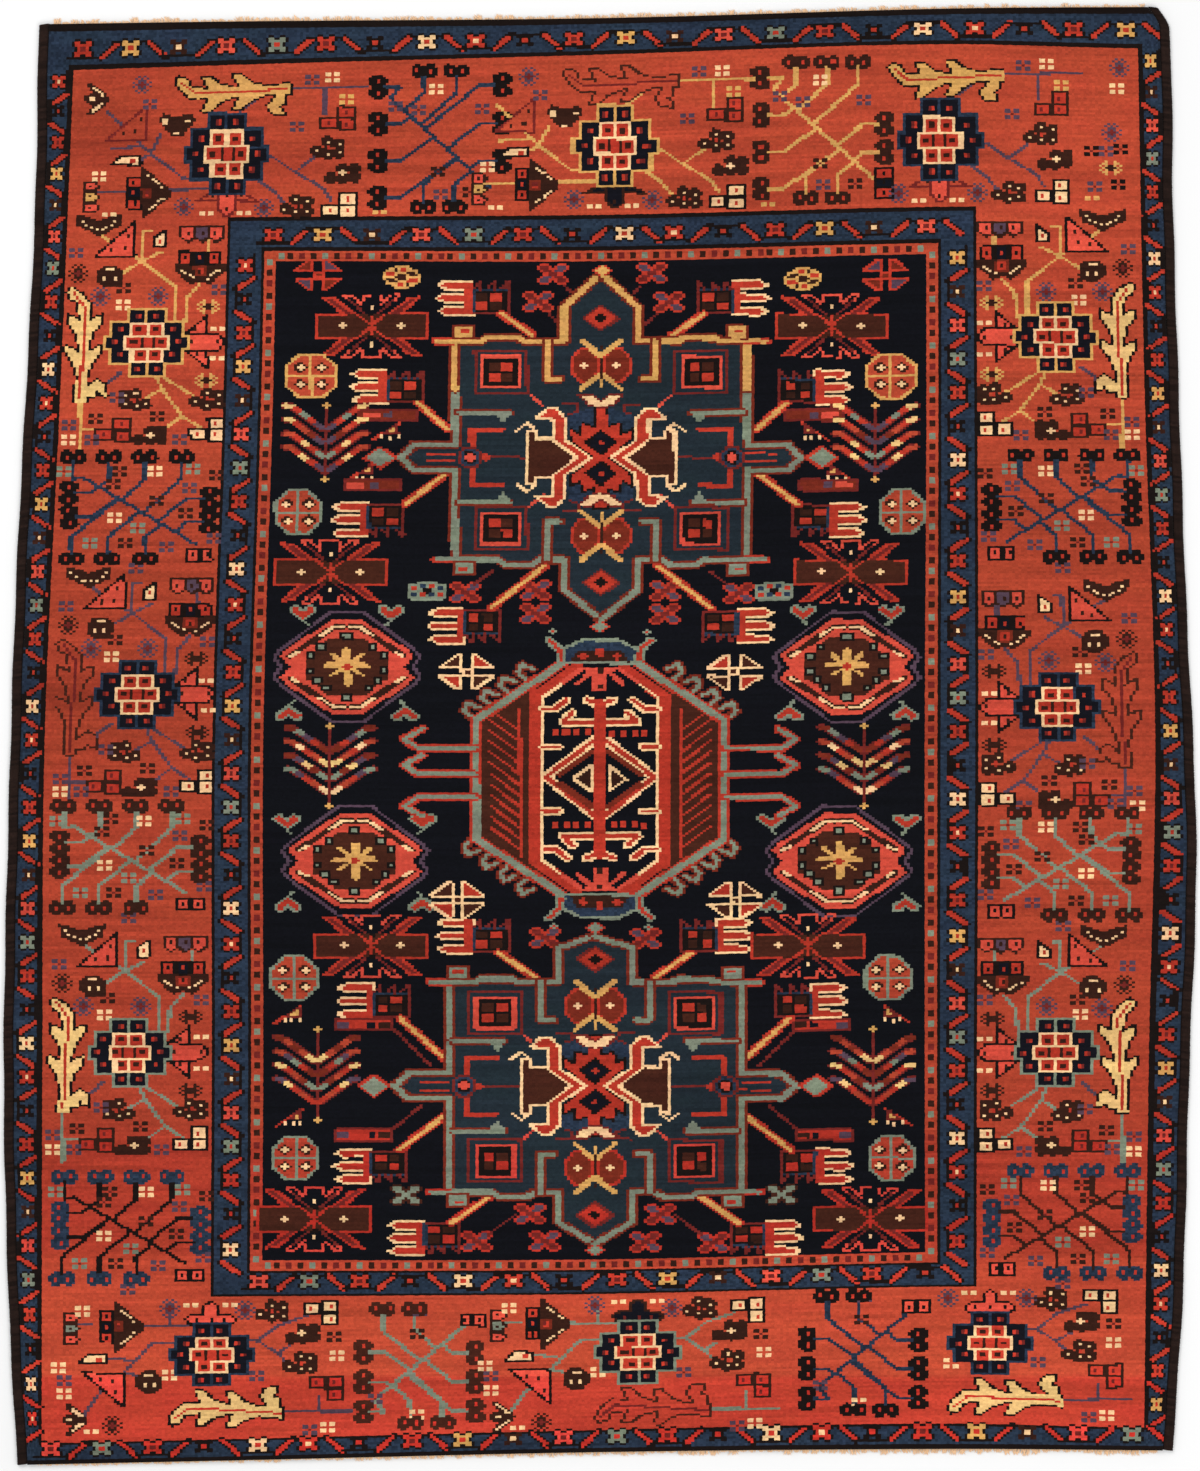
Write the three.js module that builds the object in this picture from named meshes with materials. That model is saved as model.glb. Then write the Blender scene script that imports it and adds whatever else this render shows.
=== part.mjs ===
// A hand-knotted wool rug lying flat, face up. Millimetres, +Z up.
// The origin is under the middle of the rug, +Y runs along the warps to its top end.

import * as THREE from 'three';

// Named sizes
const GAP = 0.3;                 // clearance between neighbouring pieces
const RUG_THICKNESS = 9;         // foundation and pile together
const SHOULDER_HEIGHT = 6;       // the pile's edge rounds over from here up
const SHOULDER_INSET = 2.5;      // how far the top face draws in from the edge
const SELVEDGE_WIDTH = 13;
const SELVEDGE_HEIGHT = 7;
const SIDE_STEPS = 60;           // sections along each side
const END_STEPS = 48;            // sections along each end
const WAVE = 1.1;                // how far the overcast sides wander
const WAVE_LENGTH = 148;
const FRINGE_THICKNESS = 2;
const FRINGE_ROOT = 2.4;         // the strip of bare warps that the teeth grow from
const FRINGE_PITCH = 14;         // one clump of frayed warps to the next
const OVERALL_HALF_LENGTH = 917; // to the longest warp end, top and bottom

// The rug bulges below its middle. Outer edges of the two selvedges at a few heights y,
// the first two of them where the top right corner has worn round
const SIDES = [
  { y: 912, left: -701, right: 698 },
  { y: 885, left: -703, right: 713 },
  { y: 650, left: -708, right: 718 },
  { y: 200, left: -731, right: 733 },
  { y: -140, left: -742, right: 747 },
  { y: -420, left: -747, right: 738 },
  { y: -700, left: -741, right: 730 },
  { y: -912, left: -730, right: 716 },
];

// Both woven ends slope up to the right. Their heights at a few places x across
const ENDS = [
  { x: -725, top: 889, bottom: -912 },
  { x: -440, top: 893, bottom: -906 },
  { x: 0, top: 897, bottom: -896 },
  { x: 440, top: 909, bottom: -892 },
  { x: 710, top: 911, bottom: -894 },
];

// Lengths of the frayed clumps, a run that is used again and again with a drift
const CLUMPS = [3.2, 5.6, 4.1, 7.4, 6.2, 2.6, 4.8, 8.0, 5.1, 3.6, 6.8, 4.4, 2.9];

// A smooth value from a table: `at` is looked up in column `key`, and `want` is read
function read(table, key, want, at) {
  const rising = table[1][key] > table[0][key] ? 1 : -1;
  let i = 0;
  while (i < table.length - 2 && (at - table[i + 1][key]) * rising > 0) {
    i += 1;
  }
  const a = table[i];
  const b = table[i + 1];
  const before = table[Math.max(i - 1, 0)];
  const after = table[Math.min(i + 2, table.length - 1)];
  const span = b[key] - a[key];
  const t = THREE.MathUtils.clamp((at - a[key]) / span, 0, 1);
  const slopeA = (b[want] - before[want]) / (b[key] - before[key]) * span;
  const slopeB = (after[want] - a[want]) / (after[key] - a[key]) * span;
  const t2 = t * t;
  const t3 = t2 * t;
  return (2 * t3 - 3 * t2 + 1) * a[want] + (t3 - 2 * t2 + t) * slopeA
    + (3 * t2 - 2 * t3) * b[want] + (t3 - t2) * slopeB;
}

const topAt = (x) => read(ENDS, 'x', 'top', x);
const bottomAt = (x) => read(ENDS, 'x', 'bottom', x);

// The sides wander a little inwards as the overcasting pulls on them
function wander(y) {
  return WAVE * (0.5 - 0.5 * Math.cos(2 * Math.PI * (y + 126) / WAVE_LENGTH));
}

const leftAt = (y) => read(SIDES, 'y', 'left', y) + wander(y + 240);
const rightAt = (y) => read(SIDES, 'y', 'right', y) - wander(y);

const INSET = SELVEDGE_WIDTH + GAP;

// Places of the four corners of the knotted part
const corner = {
  topLeft: topAt(-688),
  topRight: topAt(685),
  bottomLeft: bottomAt(-717),
  bottomRight: bottomAt(703),
};

// The outline of the knotted part, anticlockwise, with the way inwards at each point
function rugOutline() {
  const points = [];
  for (let i = 0; i < SIDE_STEPS; i += 1) {
    const y = THREE.MathUtils.lerp(corner.topLeft, corner.bottomLeft, i / SIDE_STEPS);
    points.push({ x: leftAt(y) + INSET, y, inX: 1, inY: i === 0 ? -1 : 0 });
  }
  const bottomLeftX = leftAt(corner.bottomLeft) + INSET;
  const bottomRightX = rightAt(corner.bottomRight) - INSET;
  for (let i = 0; i < END_STEPS; i += 1) {
    const x = THREE.MathUtils.lerp(bottomLeftX, bottomRightX, i / END_STEPS);
    points.push({ x, y: bottomAt(x), inX: i === 0 ? 1 : 0, inY: 1 });
  }
  for (let i = 0; i < SIDE_STEPS; i += 1) {
    const y = THREE.MathUtils.lerp(corner.bottomRight, corner.topRight, i / SIDE_STEPS);
    points.push({ x: rightAt(y) - INSET, y, inX: -1, inY: i === 0 ? 1 : 0 });
  }
  const topLeftX = leftAt(corner.topLeft) + INSET;
  const topRightX = rightAt(corner.topRight) - INSET;
  for (let i = 0; i < END_STEPS; i += 1) {
    const x = THREE.MathUtils.lerp(topRightX, topLeftX, i / END_STEPS);
    points.push({ x, y: topAt(x), inX: i === 0 ? -1 : 0, inY: -1 });
  }
  return points;
}

// A closed body from rings of points that follow each other, with both ends filled in flat.
// `contour` is the first ring drawn flat, anticlockwise; `mirrored` rings run the other way round.
function loft(rings, contour, mirrored) {
  const count = contour.length;
  const position = [];
  const index = [];
  for (const ring of rings) {
    for (const p of ring) {
      position.push(p.x, p.y, p.z);
    }
  }
  const face = (a, b, c) => (mirrored ? index.push(a, c, b) : index.push(a, b, c));
  for (let r = 0; r < rings.length - 1; r += 1) {
    for (let i = 0; i < count; i += 1) {
      const a = r * count + i;
      const b = r * count + (i + 1) % count;
      face(a, b, b + count);
      face(a, b + count, a + count);
    }
  }
  const last = (rings.length - 1) * count;
  for (const [a, b, c] of THREE.ShapeUtils.triangulateShape(contour, [])) {
    face(a, c, b);
    face(last + a, last + b, last + c);
  }
  const geometry = new THREE.BufferGeometry();
  geometry.setAttribute('position', new THREE.Float32BufferAttribute(position, 3));
  geometry.setIndex(index);
  geometry.computeVertexNormals();
  return geometry;
}

// The knotted rug: flat underneath, its pile rounding over at the edge
function rugGeometry() {
  const outline = rugOutline();
  const at = (inset, z) => outline.map((p) => ({ x: p.x + p.inX * inset, y: p.y + p.inY * inset, z }));
  const rings = [
    at(0, 0),
    at(0, SHOULDER_HEIGHT),
    at(SHOULDER_INSET * 0.35, (SHOULDER_HEIGHT + RUG_THICKNESS) / 2 + 0.4),
    at(SHOULDER_INSET, RUG_THICKNESS),
  ];
  return loft(rings, outline.map((p) => new THREE.Vector2(p.x, p.y)), false);
}

// The section of a selvedge, anticlockwise: u runs inwards from its outer edge, z up
const SELVEDGE_SECTION = [
  { u: 0.12, z: 0 },
  { u: 0.88, z: 0 },
  { u: 1, z: 0.35 },
  { u: 0.95, z: 0.75 },
  { u: 0.74, z: 1 },
  { u: 0.5, z: 0.86 },
  { u: 0.26, z: 1 },
  { u: 0.05, z: 0.75 },
  { u: 0, z: 0.35 },
];

// A dark overcast edge: the section carried along one side, `inward` being +1 or -1 in x
function selvedgeGeometry(edgeAt, inward, yTop, yBottom) {
  const rings = [];
  for (let i = 0; i <= SIDE_STEPS; i += 1) {
    const y = THREE.MathUtils.lerp(yTop, yBottom, i / SIDE_STEPS);
    rings.push(SELVEDGE_SECTION.map((p) => ({
      x: edgeAt(y) + inward * p.u * SELVEDGE_WIDTH,
      y,
      z: p.z * SELVEDGE_HEIGHT,
    })));
  }
  return loft(rings, SELVEDGE_SECTION.map((p) => new THREE.Vector2(p.u, p.z)), inward < 0);
}

// The frayed warp ends: a narrow root strip along the end, with uneven teeth
// `out` is +1 at the top end and -1 at the bottom end
function fringeGeometry(edgeAt, xStart, xEnd, out, drift) {
  const shape = new THREE.Shape();
  const rootAt = (x) => edgeAt(x) + out * GAP;
  const lineAt = (x) => edgeAt(x) + out * (GAP + FRINGE_ROOT);
  const clumps = Math.floor((xEnd - xStart) / FRINGE_PITCH);
  const pitch = (xEnd - xStart) / clumps;
  shape.moveTo(xStart, rootAt(xStart));
  for (let i = 1; i <= END_STEPS; i += 1) {
    const x = THREE.MathUtils.lerp(xStart, xEnd, i / END_STEPS);
    shape.lineTo(x, rootAt(x));
  }
  for (let i = clumps - 1; i >= 0; i -= 1) {
    const x = xStart + (i + 0.5) * pitch;
    const room = out * (out * OVERALL_HALF_LENGTH - lineAt(x));
    const length = Math.min(CLUMPS[(i * 5 + drift) % CLUMPS.length], room);
    const lean = (CLUMPS[(i * 3 + drift) % CLUMPS.length] - 5) * 0.45;
    const tip = lineAt(x) + out * length;
    shape.lineTo(x + pitch * 0.42, lineAt(x));
    shape.lineTo(x + pitch * 0.24 + lean, tip);
    shape.lineTo(x - pitch * 0.2 + lean, tip - out * length * 0.25);
    shape.lineTo(x - pitch * 0.42, lineAt(x));
  }
  shape.closePath();
  return new THREE.ExtrudeGeometry(shape, { depth: FRINGE_THICKNESS, bevelEnabled: false });
}

const pileWool = new THREE.MeshStandardMaterial({ color: 0x8c3a28, roughness: 0.95, metalness: 0 });
const darkWool = new THREE.MeshStandardMaterial({ color: 0x2b1d16, roughness: 0.95, metalness: 0 });
const warpWool = new THREE.MeshStandardMaterial({ color: 0xe6c49a, roughness: 0.95, metalness: 0 });

const group = new THREE.Group();

function add(name, geometry, material) {
  const mesh = new THREE.Mesh(geometry, material);
  mesh.name = name;
  group.add(mesh);
}

add('rug', rugGeometry(), pileWool);
add('selvedge_left', selvedgeGeometry(leftAt, 1, corner.topLeft, corner.bottomLeft), darkWool);
add('selvedge_right', selvedgeGeometry(rightAt, -1, corner.topRight, corner.bottomRight), darkWool);
add('fringe_top', fringeGeometry(topAt, -684, 680, 1, 0), warpWool);
add('fringe_bottom', fringeGeometry(bottomAt, -706, 698, -1, 4), warpWool);

export default group;
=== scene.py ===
"""A hand-knotted wool rug lying flat, seen from straight above. Metres, +Z up.

The pattern is woven here as on a loom: a chart of COLS by ROWS knots, each knot holding one yarn.
Motifs are drawn on a cartoon whose unit is 1.25 mm, x to the right and y down from its top left
corner, and each knot takes the yarn of the motif that covers it.
"""
import math

import bpy
import numpy as np
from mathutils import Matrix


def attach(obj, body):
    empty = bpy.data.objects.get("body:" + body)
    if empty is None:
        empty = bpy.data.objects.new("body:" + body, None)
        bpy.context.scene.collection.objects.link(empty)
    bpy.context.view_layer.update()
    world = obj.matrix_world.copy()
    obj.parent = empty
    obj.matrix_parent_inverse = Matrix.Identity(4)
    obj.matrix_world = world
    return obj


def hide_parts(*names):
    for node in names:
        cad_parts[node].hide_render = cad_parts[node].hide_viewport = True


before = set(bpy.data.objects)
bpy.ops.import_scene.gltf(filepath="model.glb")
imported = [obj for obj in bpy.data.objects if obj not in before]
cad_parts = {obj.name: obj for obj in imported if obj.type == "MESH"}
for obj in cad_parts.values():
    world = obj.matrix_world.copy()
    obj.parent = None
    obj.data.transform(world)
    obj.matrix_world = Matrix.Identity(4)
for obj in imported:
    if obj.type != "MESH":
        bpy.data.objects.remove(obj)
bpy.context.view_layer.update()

# The cartoon
UNIT = 1.25                    # mm
CENTRE_X = 600.0               # the rug's middle on the cartoon
CENTRE_Y = 735.5
KNOT_WIDE = 3.0                # cartoon units
KNOT_TALL = 2.12
KNOT_SIZE = 2.52               # side of a square knot of the same area
ONE_KNOT = 2.5                 # width of a line one knot thick, in cartoon units, and of slimmer ones
THIN = 2.4
THINNEST = 2.2
EDGING = 2.3                   # how far a bar's edging stands out on each side
BLUNT = 0.42                   # how far along its box's sides an eight-sided round has its corners

# Knots across and up, and where the bands begin, counted in knots from each edge
COLS = 390
ROWS = 684
SIDE_BANDS = {"edge": 0, "border": 10, "inner": 67, "dotted": 79, "field": 83}
TOP_BANDS = {"edge": 3, "border": 18, "inner": 96, "dotted": 111, "field": 116}
BOTTOM_BANDS = {"edge": 2, "border": 10, "inner": 78, "dotted": 89, "field": 94}

# Outer edges of the selvedges in mm from the rug's middle: height, left, right
SIDES = np.array([
    (912, -701, 698),
    (885, -703, 713),
    (650, -708, 718),
    (200, -731, 733),
    (-140, -742, 747),
    (-420, -747, 738),
    (-700, -741, 730),
    (-912, -730, 716),
], float)

# Woven ends in mm: place across, top, bottom
ENDS = np.array([
    (-725, 889, -912),
    (-440, 893, -906),
    (0, 897, -896),
    (440, 909, -892),
    (710, 911, -894),
], float)

# Straight lines that the weaver let wander, in mm: height, border and field left, field and border right
SIDE_LINES = np.array([
    (880, -656, -400, 407, 672),
    (420, -675, -409, 408, 681),
    (0, -694, -421, 406, 694),
    (-405, -697, -421, 406, 686),
    (-880, -698, -424, 407, 680),
], float)

# The same across, in mm: place, then border and field at the top, field and border at the bottom
END_LINES = np.array([
    (-650, 832, 592, -656, -884),
    (-400, 840, 593, -656, -878),
    (0, 851, 593, -655, -868),
    (410, 864, 602, -646, -860),
    (660, 859, 604, -645, -865),
], float)

SELVEDGE = 13.0                # mm, width of the overcast edge
GAP = 0.3                      # mm, between the knots and the overcast edge
WAVE = 1.1                     # mm, how far the overcast edge wanders
WAVE_LENGTH = 148.0
WAVE_START = 126               # mm, where the right side's wave starts
WAVE_LAG = 240                 # mm, how far the left side's wave is shifted along it

# Yarns, in sRGB, 0 to 255
YARNS = {
    "midnight": (10, 11, 17),
    "rust": (178, 68, 45),
    "red": (182, 54, 38),
    "salmon": (214, 78, 60),
    "russet": (112, 38, 24),
    "brown": (50, 25, 17),
    "umber": (64, 30, 20),
    "black": (22, 14, 12),
    "navy": (15, 15, 23),
    "blue": (36, 48, 65),
    "slate": (80, 60, 74),
    "teal": (30, 40, 47),
    "sage": (118, 126, 108),
    "gold": (206, 154, 86),
    "straw": (226, 184, 118),
    "cream": (236, 192, 142),
    "wine": (108, 34, 30),
}
YARN_NUMBER = {name: i for i, name in enumerate(YARNS)}


def smooth(table, column, at):
    """Read a column of a table smoothly, at values of its first column."""
    order = np.argsort(table[:, 0])
    x, y = table[order, 0], table[order, column]
    wide_x, wide_y = np.pad(x, 1, mode="edge"), np.pad(y, 1, mode="edge")
    slope = (wide_y[2:] - wide_y[:-2]) / (wide_x[2:] - wide_x[:-2])
    at = np.clip(at, x[0], x[-1])
    i = np.clip(np.searchsorted(x, at) - 1, 0, len(x) - 2)
    span = x[i + 1] - x[i]
    t = (at - x[i]) / span
    start = (2 * t**3 - 3 * t**2 + 1) * y[i] + (t**3 - 2 * t**2 + t) * slope[i] * span
    end = (3 * t**2 - 2 * t**3) * y[i + 1] + (t**3 - t**2) * slope[i + 1] * span
    return start + end


def wander(y):
    """How far the overcasting has pulled a side inwards, in mm."""
    return WAVE * (0.5 - 0.5 * np.cos(2 * math.pi * (y + WAVE_START) / WAVE_LENGTH))


def left_edge(y):
    """Outer edge of the left selvedge, in mm."""
    return smooth(SIDES, 1, y) + wander(y + WAVE_LAG)


def right_edge(y):
    """Outer edge of the right selvedge, in mm."""
    return smooth(SIDES, 2, y) - wander(y)


def between(counts, knots, lines):
    """Places of knot counts that are spread evenly between lines at certain counts."""
    place = np.zeros(counts.shape)
    for a, b, low, high in zip(knots, knots[1:], lines, lines[1:]):
        here = (counts >= a) & (counts <= b)
        place[here] = (low + (high - low) * (counts - a) / (b - a))[here]
    return place


def across(cols, y):
    """Place across in mm of each knot column at heights y, both arrays of one shape."""
    border, field = SIDE_BANDS["border"], SIDE_BANDS["field"]
    lines = [left_edge(y) + SELVEDGE + GAP] + [smooth(SIDE_LINES, c, y) for c in (1, 2, 3, 4)]
    lines.append(right_edge(y) - SELVEDGE - GAP)
    return between(cols, [0, border, field, COLS - field, COLS - border, COLS], lines)


def down(rows, x):
    """Height in mm of each knot row, counted from the top, at places x."""
    knots = [0, TOP_BANDS["border"], TOP_BANDS["field"]]
    knots += [ROWS - BOTTOM_BANDS["field"], ROWS - BOTTOM_BANDS["border"], ROWS]
    lines = [smooth(ENDS, 1, x)] + [smooth(END_LINES, c, x) for c in (1, 2, 3, 4)]
    lines.append(smooth(ENDS, 2, x))
    return between(rows, knots, lines)


def loom(cols, rows):
    """Places in mm of points given in knots across and down."""
    x = (cols - COLS / 2) * KNOT_WIDE * UNIT
    y = (CENTRE_Y - rows * KNOT_TALL) * UNIT
    for _ in range(4):
        x = across(cols, y)
        y = down(rows, x)
    return x, y


def cartoon_places():
    """Places of the knots' middles on the cartoon."""
    cols, rows = np.meshgrid(np.arange(COLS) + 0.5, np.arange(ROWS) + 0.5)
    x, y = loom(cols, rows)
    return x / UNIT + CENTRE_X, CENTRE_Y - y / UNIT


knot_x, knot_y = cartoon_places()
COL_LOW, COL_HIGH = knot_x.min(axis=0), knot_x.max(axis=0)
ROW_LOW, ROW_HIGH = knot_y.min(axis=1), knot_y.max(axis=1)
chart = np.full((ROWS, COLS), YARN_NUMBER["rust"], np.int8)


def knots_near(x0, x1, y0, y1):
    """The block of the chart that holds every knot between these places."""
    cols = np.nonzero((COL_HIGH >= x0) & (COL_LOW <= x1))[0]
    rows = np.nonzero((ROW_HIGH >= y0) & (ROW_LOW <= y1))[0]
    if not len(cols) or not len(rows):
        return slice(0, 0), slice(0, 0)
    return slice(rows[0], rows[-1] + 1), slice(cols[0], cols[-1] + 1)


def knot_at(x, y):
    """The knot whose middle is nearest to a place on the cartoon."""
    row = int(np.argmin(np.abs(knot_y[:, COLS // 2] - y)))
    for _ in range(2):
        col = int(np.argmin(np.abs(knot_x[row] - x)))
        row = int(np.argmin(np.abs(knot_y[:, col] - y)))
    return row, col


class Pen:
    """Lays yarn into the chart, in cartoon units from its own origin.

    It can be mirrored, and turned so that its u runs down the cartoon and its v across.
    """

    def __init__(self, x, y, mirror_u=1, mirror_v=1, turned=False):
        self.x = x
        self.y = y
        self.u = mirror_u
        self.v = mirror_v
        self.turned = turned

    def place(self, u, v):
        if self.turned:
            return self.x + self.v * v, self.y + self.u * u
        return self.x + self.u * u, self.y + self.v * v

    def moved(self, u, v, mirror_u=1, mirror_v=1):
        """A pen of the same handing further along, or mirrored there."""
        return Pen(*self.place(u, v), self.u * mirror_u, self.v * mirror_v, self.turned)

    def halves(self):
        """This pen as it is and mirrored, for what is the same on the left and on the right."""
        return [self.moved(0, 0, a) for a in (1, -1)]

    def ends(self):
        """The same for what is alike above and below."""
        return [self.moved(0, 0, 1, b) for b in (-1, 1)]

    def quarters(self):
        """The same for what is alike in all four quarters."""
        return [self.moved(0, 0, a, b) for a in (-1, 1) for b in (-1, 1)]

    def fill(self, points, yarn, edge=None, edge_width=ONE_KNOT):
        """A filled outline, with a line of another yarn laid round it."""
        corners = [self.place(u, v) for u, v in points]
        xs, ys = zip(*corners)
        block = knots_near(min(xs), max(xs), min(ys), max(ys))
        x, y = knot_x[block], knot_y[block]
        within = np.zeros(x.shape, bool)
        for (xa, ya), (xb, yb) in zip(corners, corners[1:] + corners[:1]):
            if ya != yb:
                crosses = (ya > y) != (yb > y)
                within ^= crosses & (x < (xb - xa) * (y - ya) / (yb - ya) + xa)
        chart[block][within] = YARN_NUMBER[yarn]
        if edge:
            self.line(points + points[:1], edge, edge_width)

    def line(self, points, yarn, width=ONE_KNOT):
        """A line of one yarn, or of several that follow each other along it."""
        yarns = [yarn] if isinstance(yarn, str) else yarn
        numbers = np.array([YARN_NUMBER[name] for name in yarns])
        scale_x, scale_y = KNOT_SIZE / KNOT_WIDE, KNOT_SIZE / KNOT_TALL
        reach = width * 0.75   # how far out knots are looked at
        corners = [self.place(u, v) for u, v in points]
        spans = [math.dist(a, b) for a, b in zip(corners, corners[1:])]
        gone = 0
        for (xa, ya), (xb, yb), span in zip(corners, corners[1:], spans):
            block = knots_near(min(xa, xb) - reach, max(xa, xb) + reach,
                               min(ya, yb) - reach, max(ya, yb) + reach)
            x, y = (knot_x[block] - xa) * scale_x, (knot_y[block] - ya) * scale_y
            dx, dy = (xb - xa) * scale_x, (yb - ya) * scale_y
            t = np.clip((x * dx + y * dy) / max(dx * dx + dy * dy, 1e-6), 0, 1)
            close = np.hypot(x - t * dx, y - t * dy) < width / 2
            share = (gone + t * span) / max(sum(spans), 1e-6)
            which = np.minimum((share * len(yarns)).astype(int), len(yarns) - 1)
            chart[block][close] = numbers[which][close]
            gone += span

    def edged(self, points, yarn, width, edge="red"):
        """A bar of one yarn with a thin line of another along both sides."""
        self.line(points, edge, width + 2 * EDGING)
        self.line(points, yarn, width)

    def box(self, u, v, width, height, yarn, edge=None, edge_width=ONE_KNOT):
        """A filled box round its middle."""
        a, b = width / 2, height / 2
        corners = [(u - a, v - b), (u + a, v - b), (u + a, v + b), (u - a, v + b)]
        self.fill(corners, yarn, edge, edge_width)

    def block(self, u0, v0, u1, v1, yarn):
        """A box between two corners, on the nearest lines between knots and a knot thick at least."""
        (xa, ya), (xb, yb) = self.place(u0, v0), self.place(u1, v1)
        row, col = knot_at((xa + xb) / 2, (ya + yb) / 2)
        left, right = np.searchsorted(knot_x[row], sorted((xa, xb)))
        top, bottom = np.searchsorted(knot_y[:, col], sorted((ya, yb)))
        chart[top:max(bottom, top + 1), left:max(right, left + 1)] = YARN_NUMBER[yarn]

    def dot(self, u, v, yarn, wide=1, tall=1):
        """So many knots of one yarn."""
        x, y = self.place(u, v)
        a, b = wide * KNOT_WIDE / 2, tall * KNOT_TALL / 2
        Pen(x, y).block(-a, -b, a, b, yarn)

    def dots(self, places, yarn, wide=1, tall=1):
        for u, v in places:
            self.dot(u, v, yarn, wide, tall)

    def disc(self, u, v, radius_u, radius_v, yarn, edge=None, edge_width=ONE_KNOT):
        """A blunt round made of eight sides."""
        quarter = [(-radius_u, -radius_v * BLUNT), (-radius_u * BLUNT, -radius_v)]
        self.fill([(u + p, v + q) for p, q in four_sided(quarter)], yarn, edge, edge_width)

    def diamond(self, u, v, half_u, half_v, yarn, edge=None, edge_width=ONE_KNOT):
        corners = [(u, v - half_v), (u + half_u, v), (u, v + half_v), (u - half_u, v)]
        self.fill(corners, yarn, edge, edge_width)

    def stamp(self, u, v, art, yarns):
        """A small charted motif, one letter a knot, centred here."""
        row, col = knot_at(*self.place(u, v))
        down = -1 if self.v < 0 and not self.turned else 1
        right = -1 if self.u < 0 and not self.turned else 1
        top = row - len(art) // 2
        for r, line in enumerate(art[::down]):
            left = col - len(line) // 2
            for c, letter in enumerate(line[::right]):
                if letter in yarns and 0 <= top + r < ROWS and 0 <= left + c < COLS:
                    chart[top + r, left + c] = YARN_NUMBER[yarns[letter]]


def mirrored(half):
    """A whole outline from its right half, given from top to bottom."""
    return half + [(-u, v) for u, v in reversed(half)]


def mirrored_down(half):
    """A whole outline from its upper half, given from left to right."""
    return half + [(u, -v) for u, v in reversed(half)]


def four_sided(quarter):
    """A whole outline from its upper left quarter, first point on the left."""
    return mirrored_down(quarter + [(-u, v) for u, v in reversed(quarter)])


# Small charted motifs, one letter a knot
FOUR = ["aa.aa",
        "aa.aa",
        "..b..",
        "aa.aa",
        "aa.aa"]
PAIR = ["aa.aa",
        "aa.aa"]
PLUS = [".a.",
        "aaa",
        ".a."]
EYE = [".a.",
       "aba",
       ".a."]
STAR = ["..a..a..",
        ".aa..aa.",
        "a.abba.a",
        ".abbbba.",
        "a.abba.a",
        ".aa..aa.",
        "..a..a.."]
STARLET = ["..a.a..",
           ".a.a.a.",
           "..aaa..",
           "a.aba.a",
           ".abbba.",
           "a.aba.a",
           "..aaa..",
           ".a.a.a.",
           "..a.a.."]
GUARD_SIDE = [".kk.kk.",
              "kaakaak",
              "kaaaaak",
              ".kabak.",
              ".kabak.",
              "kaaaaak",
              "kaakaak",
              ".kk.kk."]
GUARD_END = [".kk..kk.",
             "kaakkaak",
             "kaaaaaak",
             ".kabbak.",
             ".kabbak.",
             "kaaaaaak",
             "kaakkaak",
             ".kk..kk."]
LOOPS = [".aaa...aaa.",
         "abbba.accca",
         "abbbaaaccca",
         ".abbbaccca.",
         "..aabbbaa..",
         "..aabbbaa..",
         ".acccabbba.",
         "acccaaabbba",
         "accca.abbba",
         ".aaa...aaa."]
MOSAIC = ["...ddddddd...",
          "ddddbbdccdddd",
          "dccdbbdccdbbd",
          "dccddkkkddbbd",
          "dddddkkkddddd",
          "dbbdcckbbdccd",
          "dbbdccdbbdccd",
          "ddddddddddddd",
          ".ddddddddddd."]
GOLD_ROSETTE = ["....ggggg....",
                "..ggkgrrgg...",
                ".gggkgrrgggg.",
                "grrrggggkkkg.",
                "grrrgkkkgkkkg",
                "ggggkkkkggggg",
                "gkkkgkkkgrrrg",
                ".gkkkgggrrrrg",
                ".ggggrrgkggg.",
                "...ggrrgkgg..",
                "....ggggg...."]
TASSEL = ["..bab..",
          ".baaab.",
          "baaaaab",
          ".baaab.",
          "..bab.."]


# Bands and guard stripes

def lay_bands():
    """The plain grounds of the bands, one inside the next, each with a dark line round it."""
    grounds = {"edge": "blue", "border": "rust", "inner": "blue", "dotted": "rust", "field": "midnight"}
    chart[:] = YARN_NUMBER["black"]
    for band, yarn in grounds.items():
        top, bottom, side = TOP_BANDS[band], ROWS - BOTTOM_BANDS[band], SIDE_BANDS[band]
        if band not in ("edge", "field"):
            line = 2 if band == "border" else 1
            chart[top - 2:bottom + 1, side - line:COLS - side + line] = YARN_NUMBER["black"]
        chart[top:bottom, side:COLS - side] = YARN_NUMBER[yarn]


# Yarns of the guard stars, arms and middle, in the order in which they follow each other
STAR_CYCLE = [
    ("red", "cream"), ("black", "red"), ("red", "wine"), ("gold", "red"), ("brown", "cream"),
    ("salmon", "wine"), ("sage", "red"), ("red", "wine"), ("black", "red"), ("cream", "red"),
]
STAR_ROWS = 16                 # from star to star along a side, in knots
STAR_COLS = 17                 # and along an end

# Guard stripes: their band, the next one in, and knots from the corner to the first star of a side and an end
GUARDS = [("edge", "border", 14, 9), ("inner", "dotted", 15, 10)]


def spaced(first, last, step):
    """Whole numbers from first to last, about a step apart."""
    return np.linspace(first, last, round((last - first) / step) + 1).astype(int)


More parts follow.
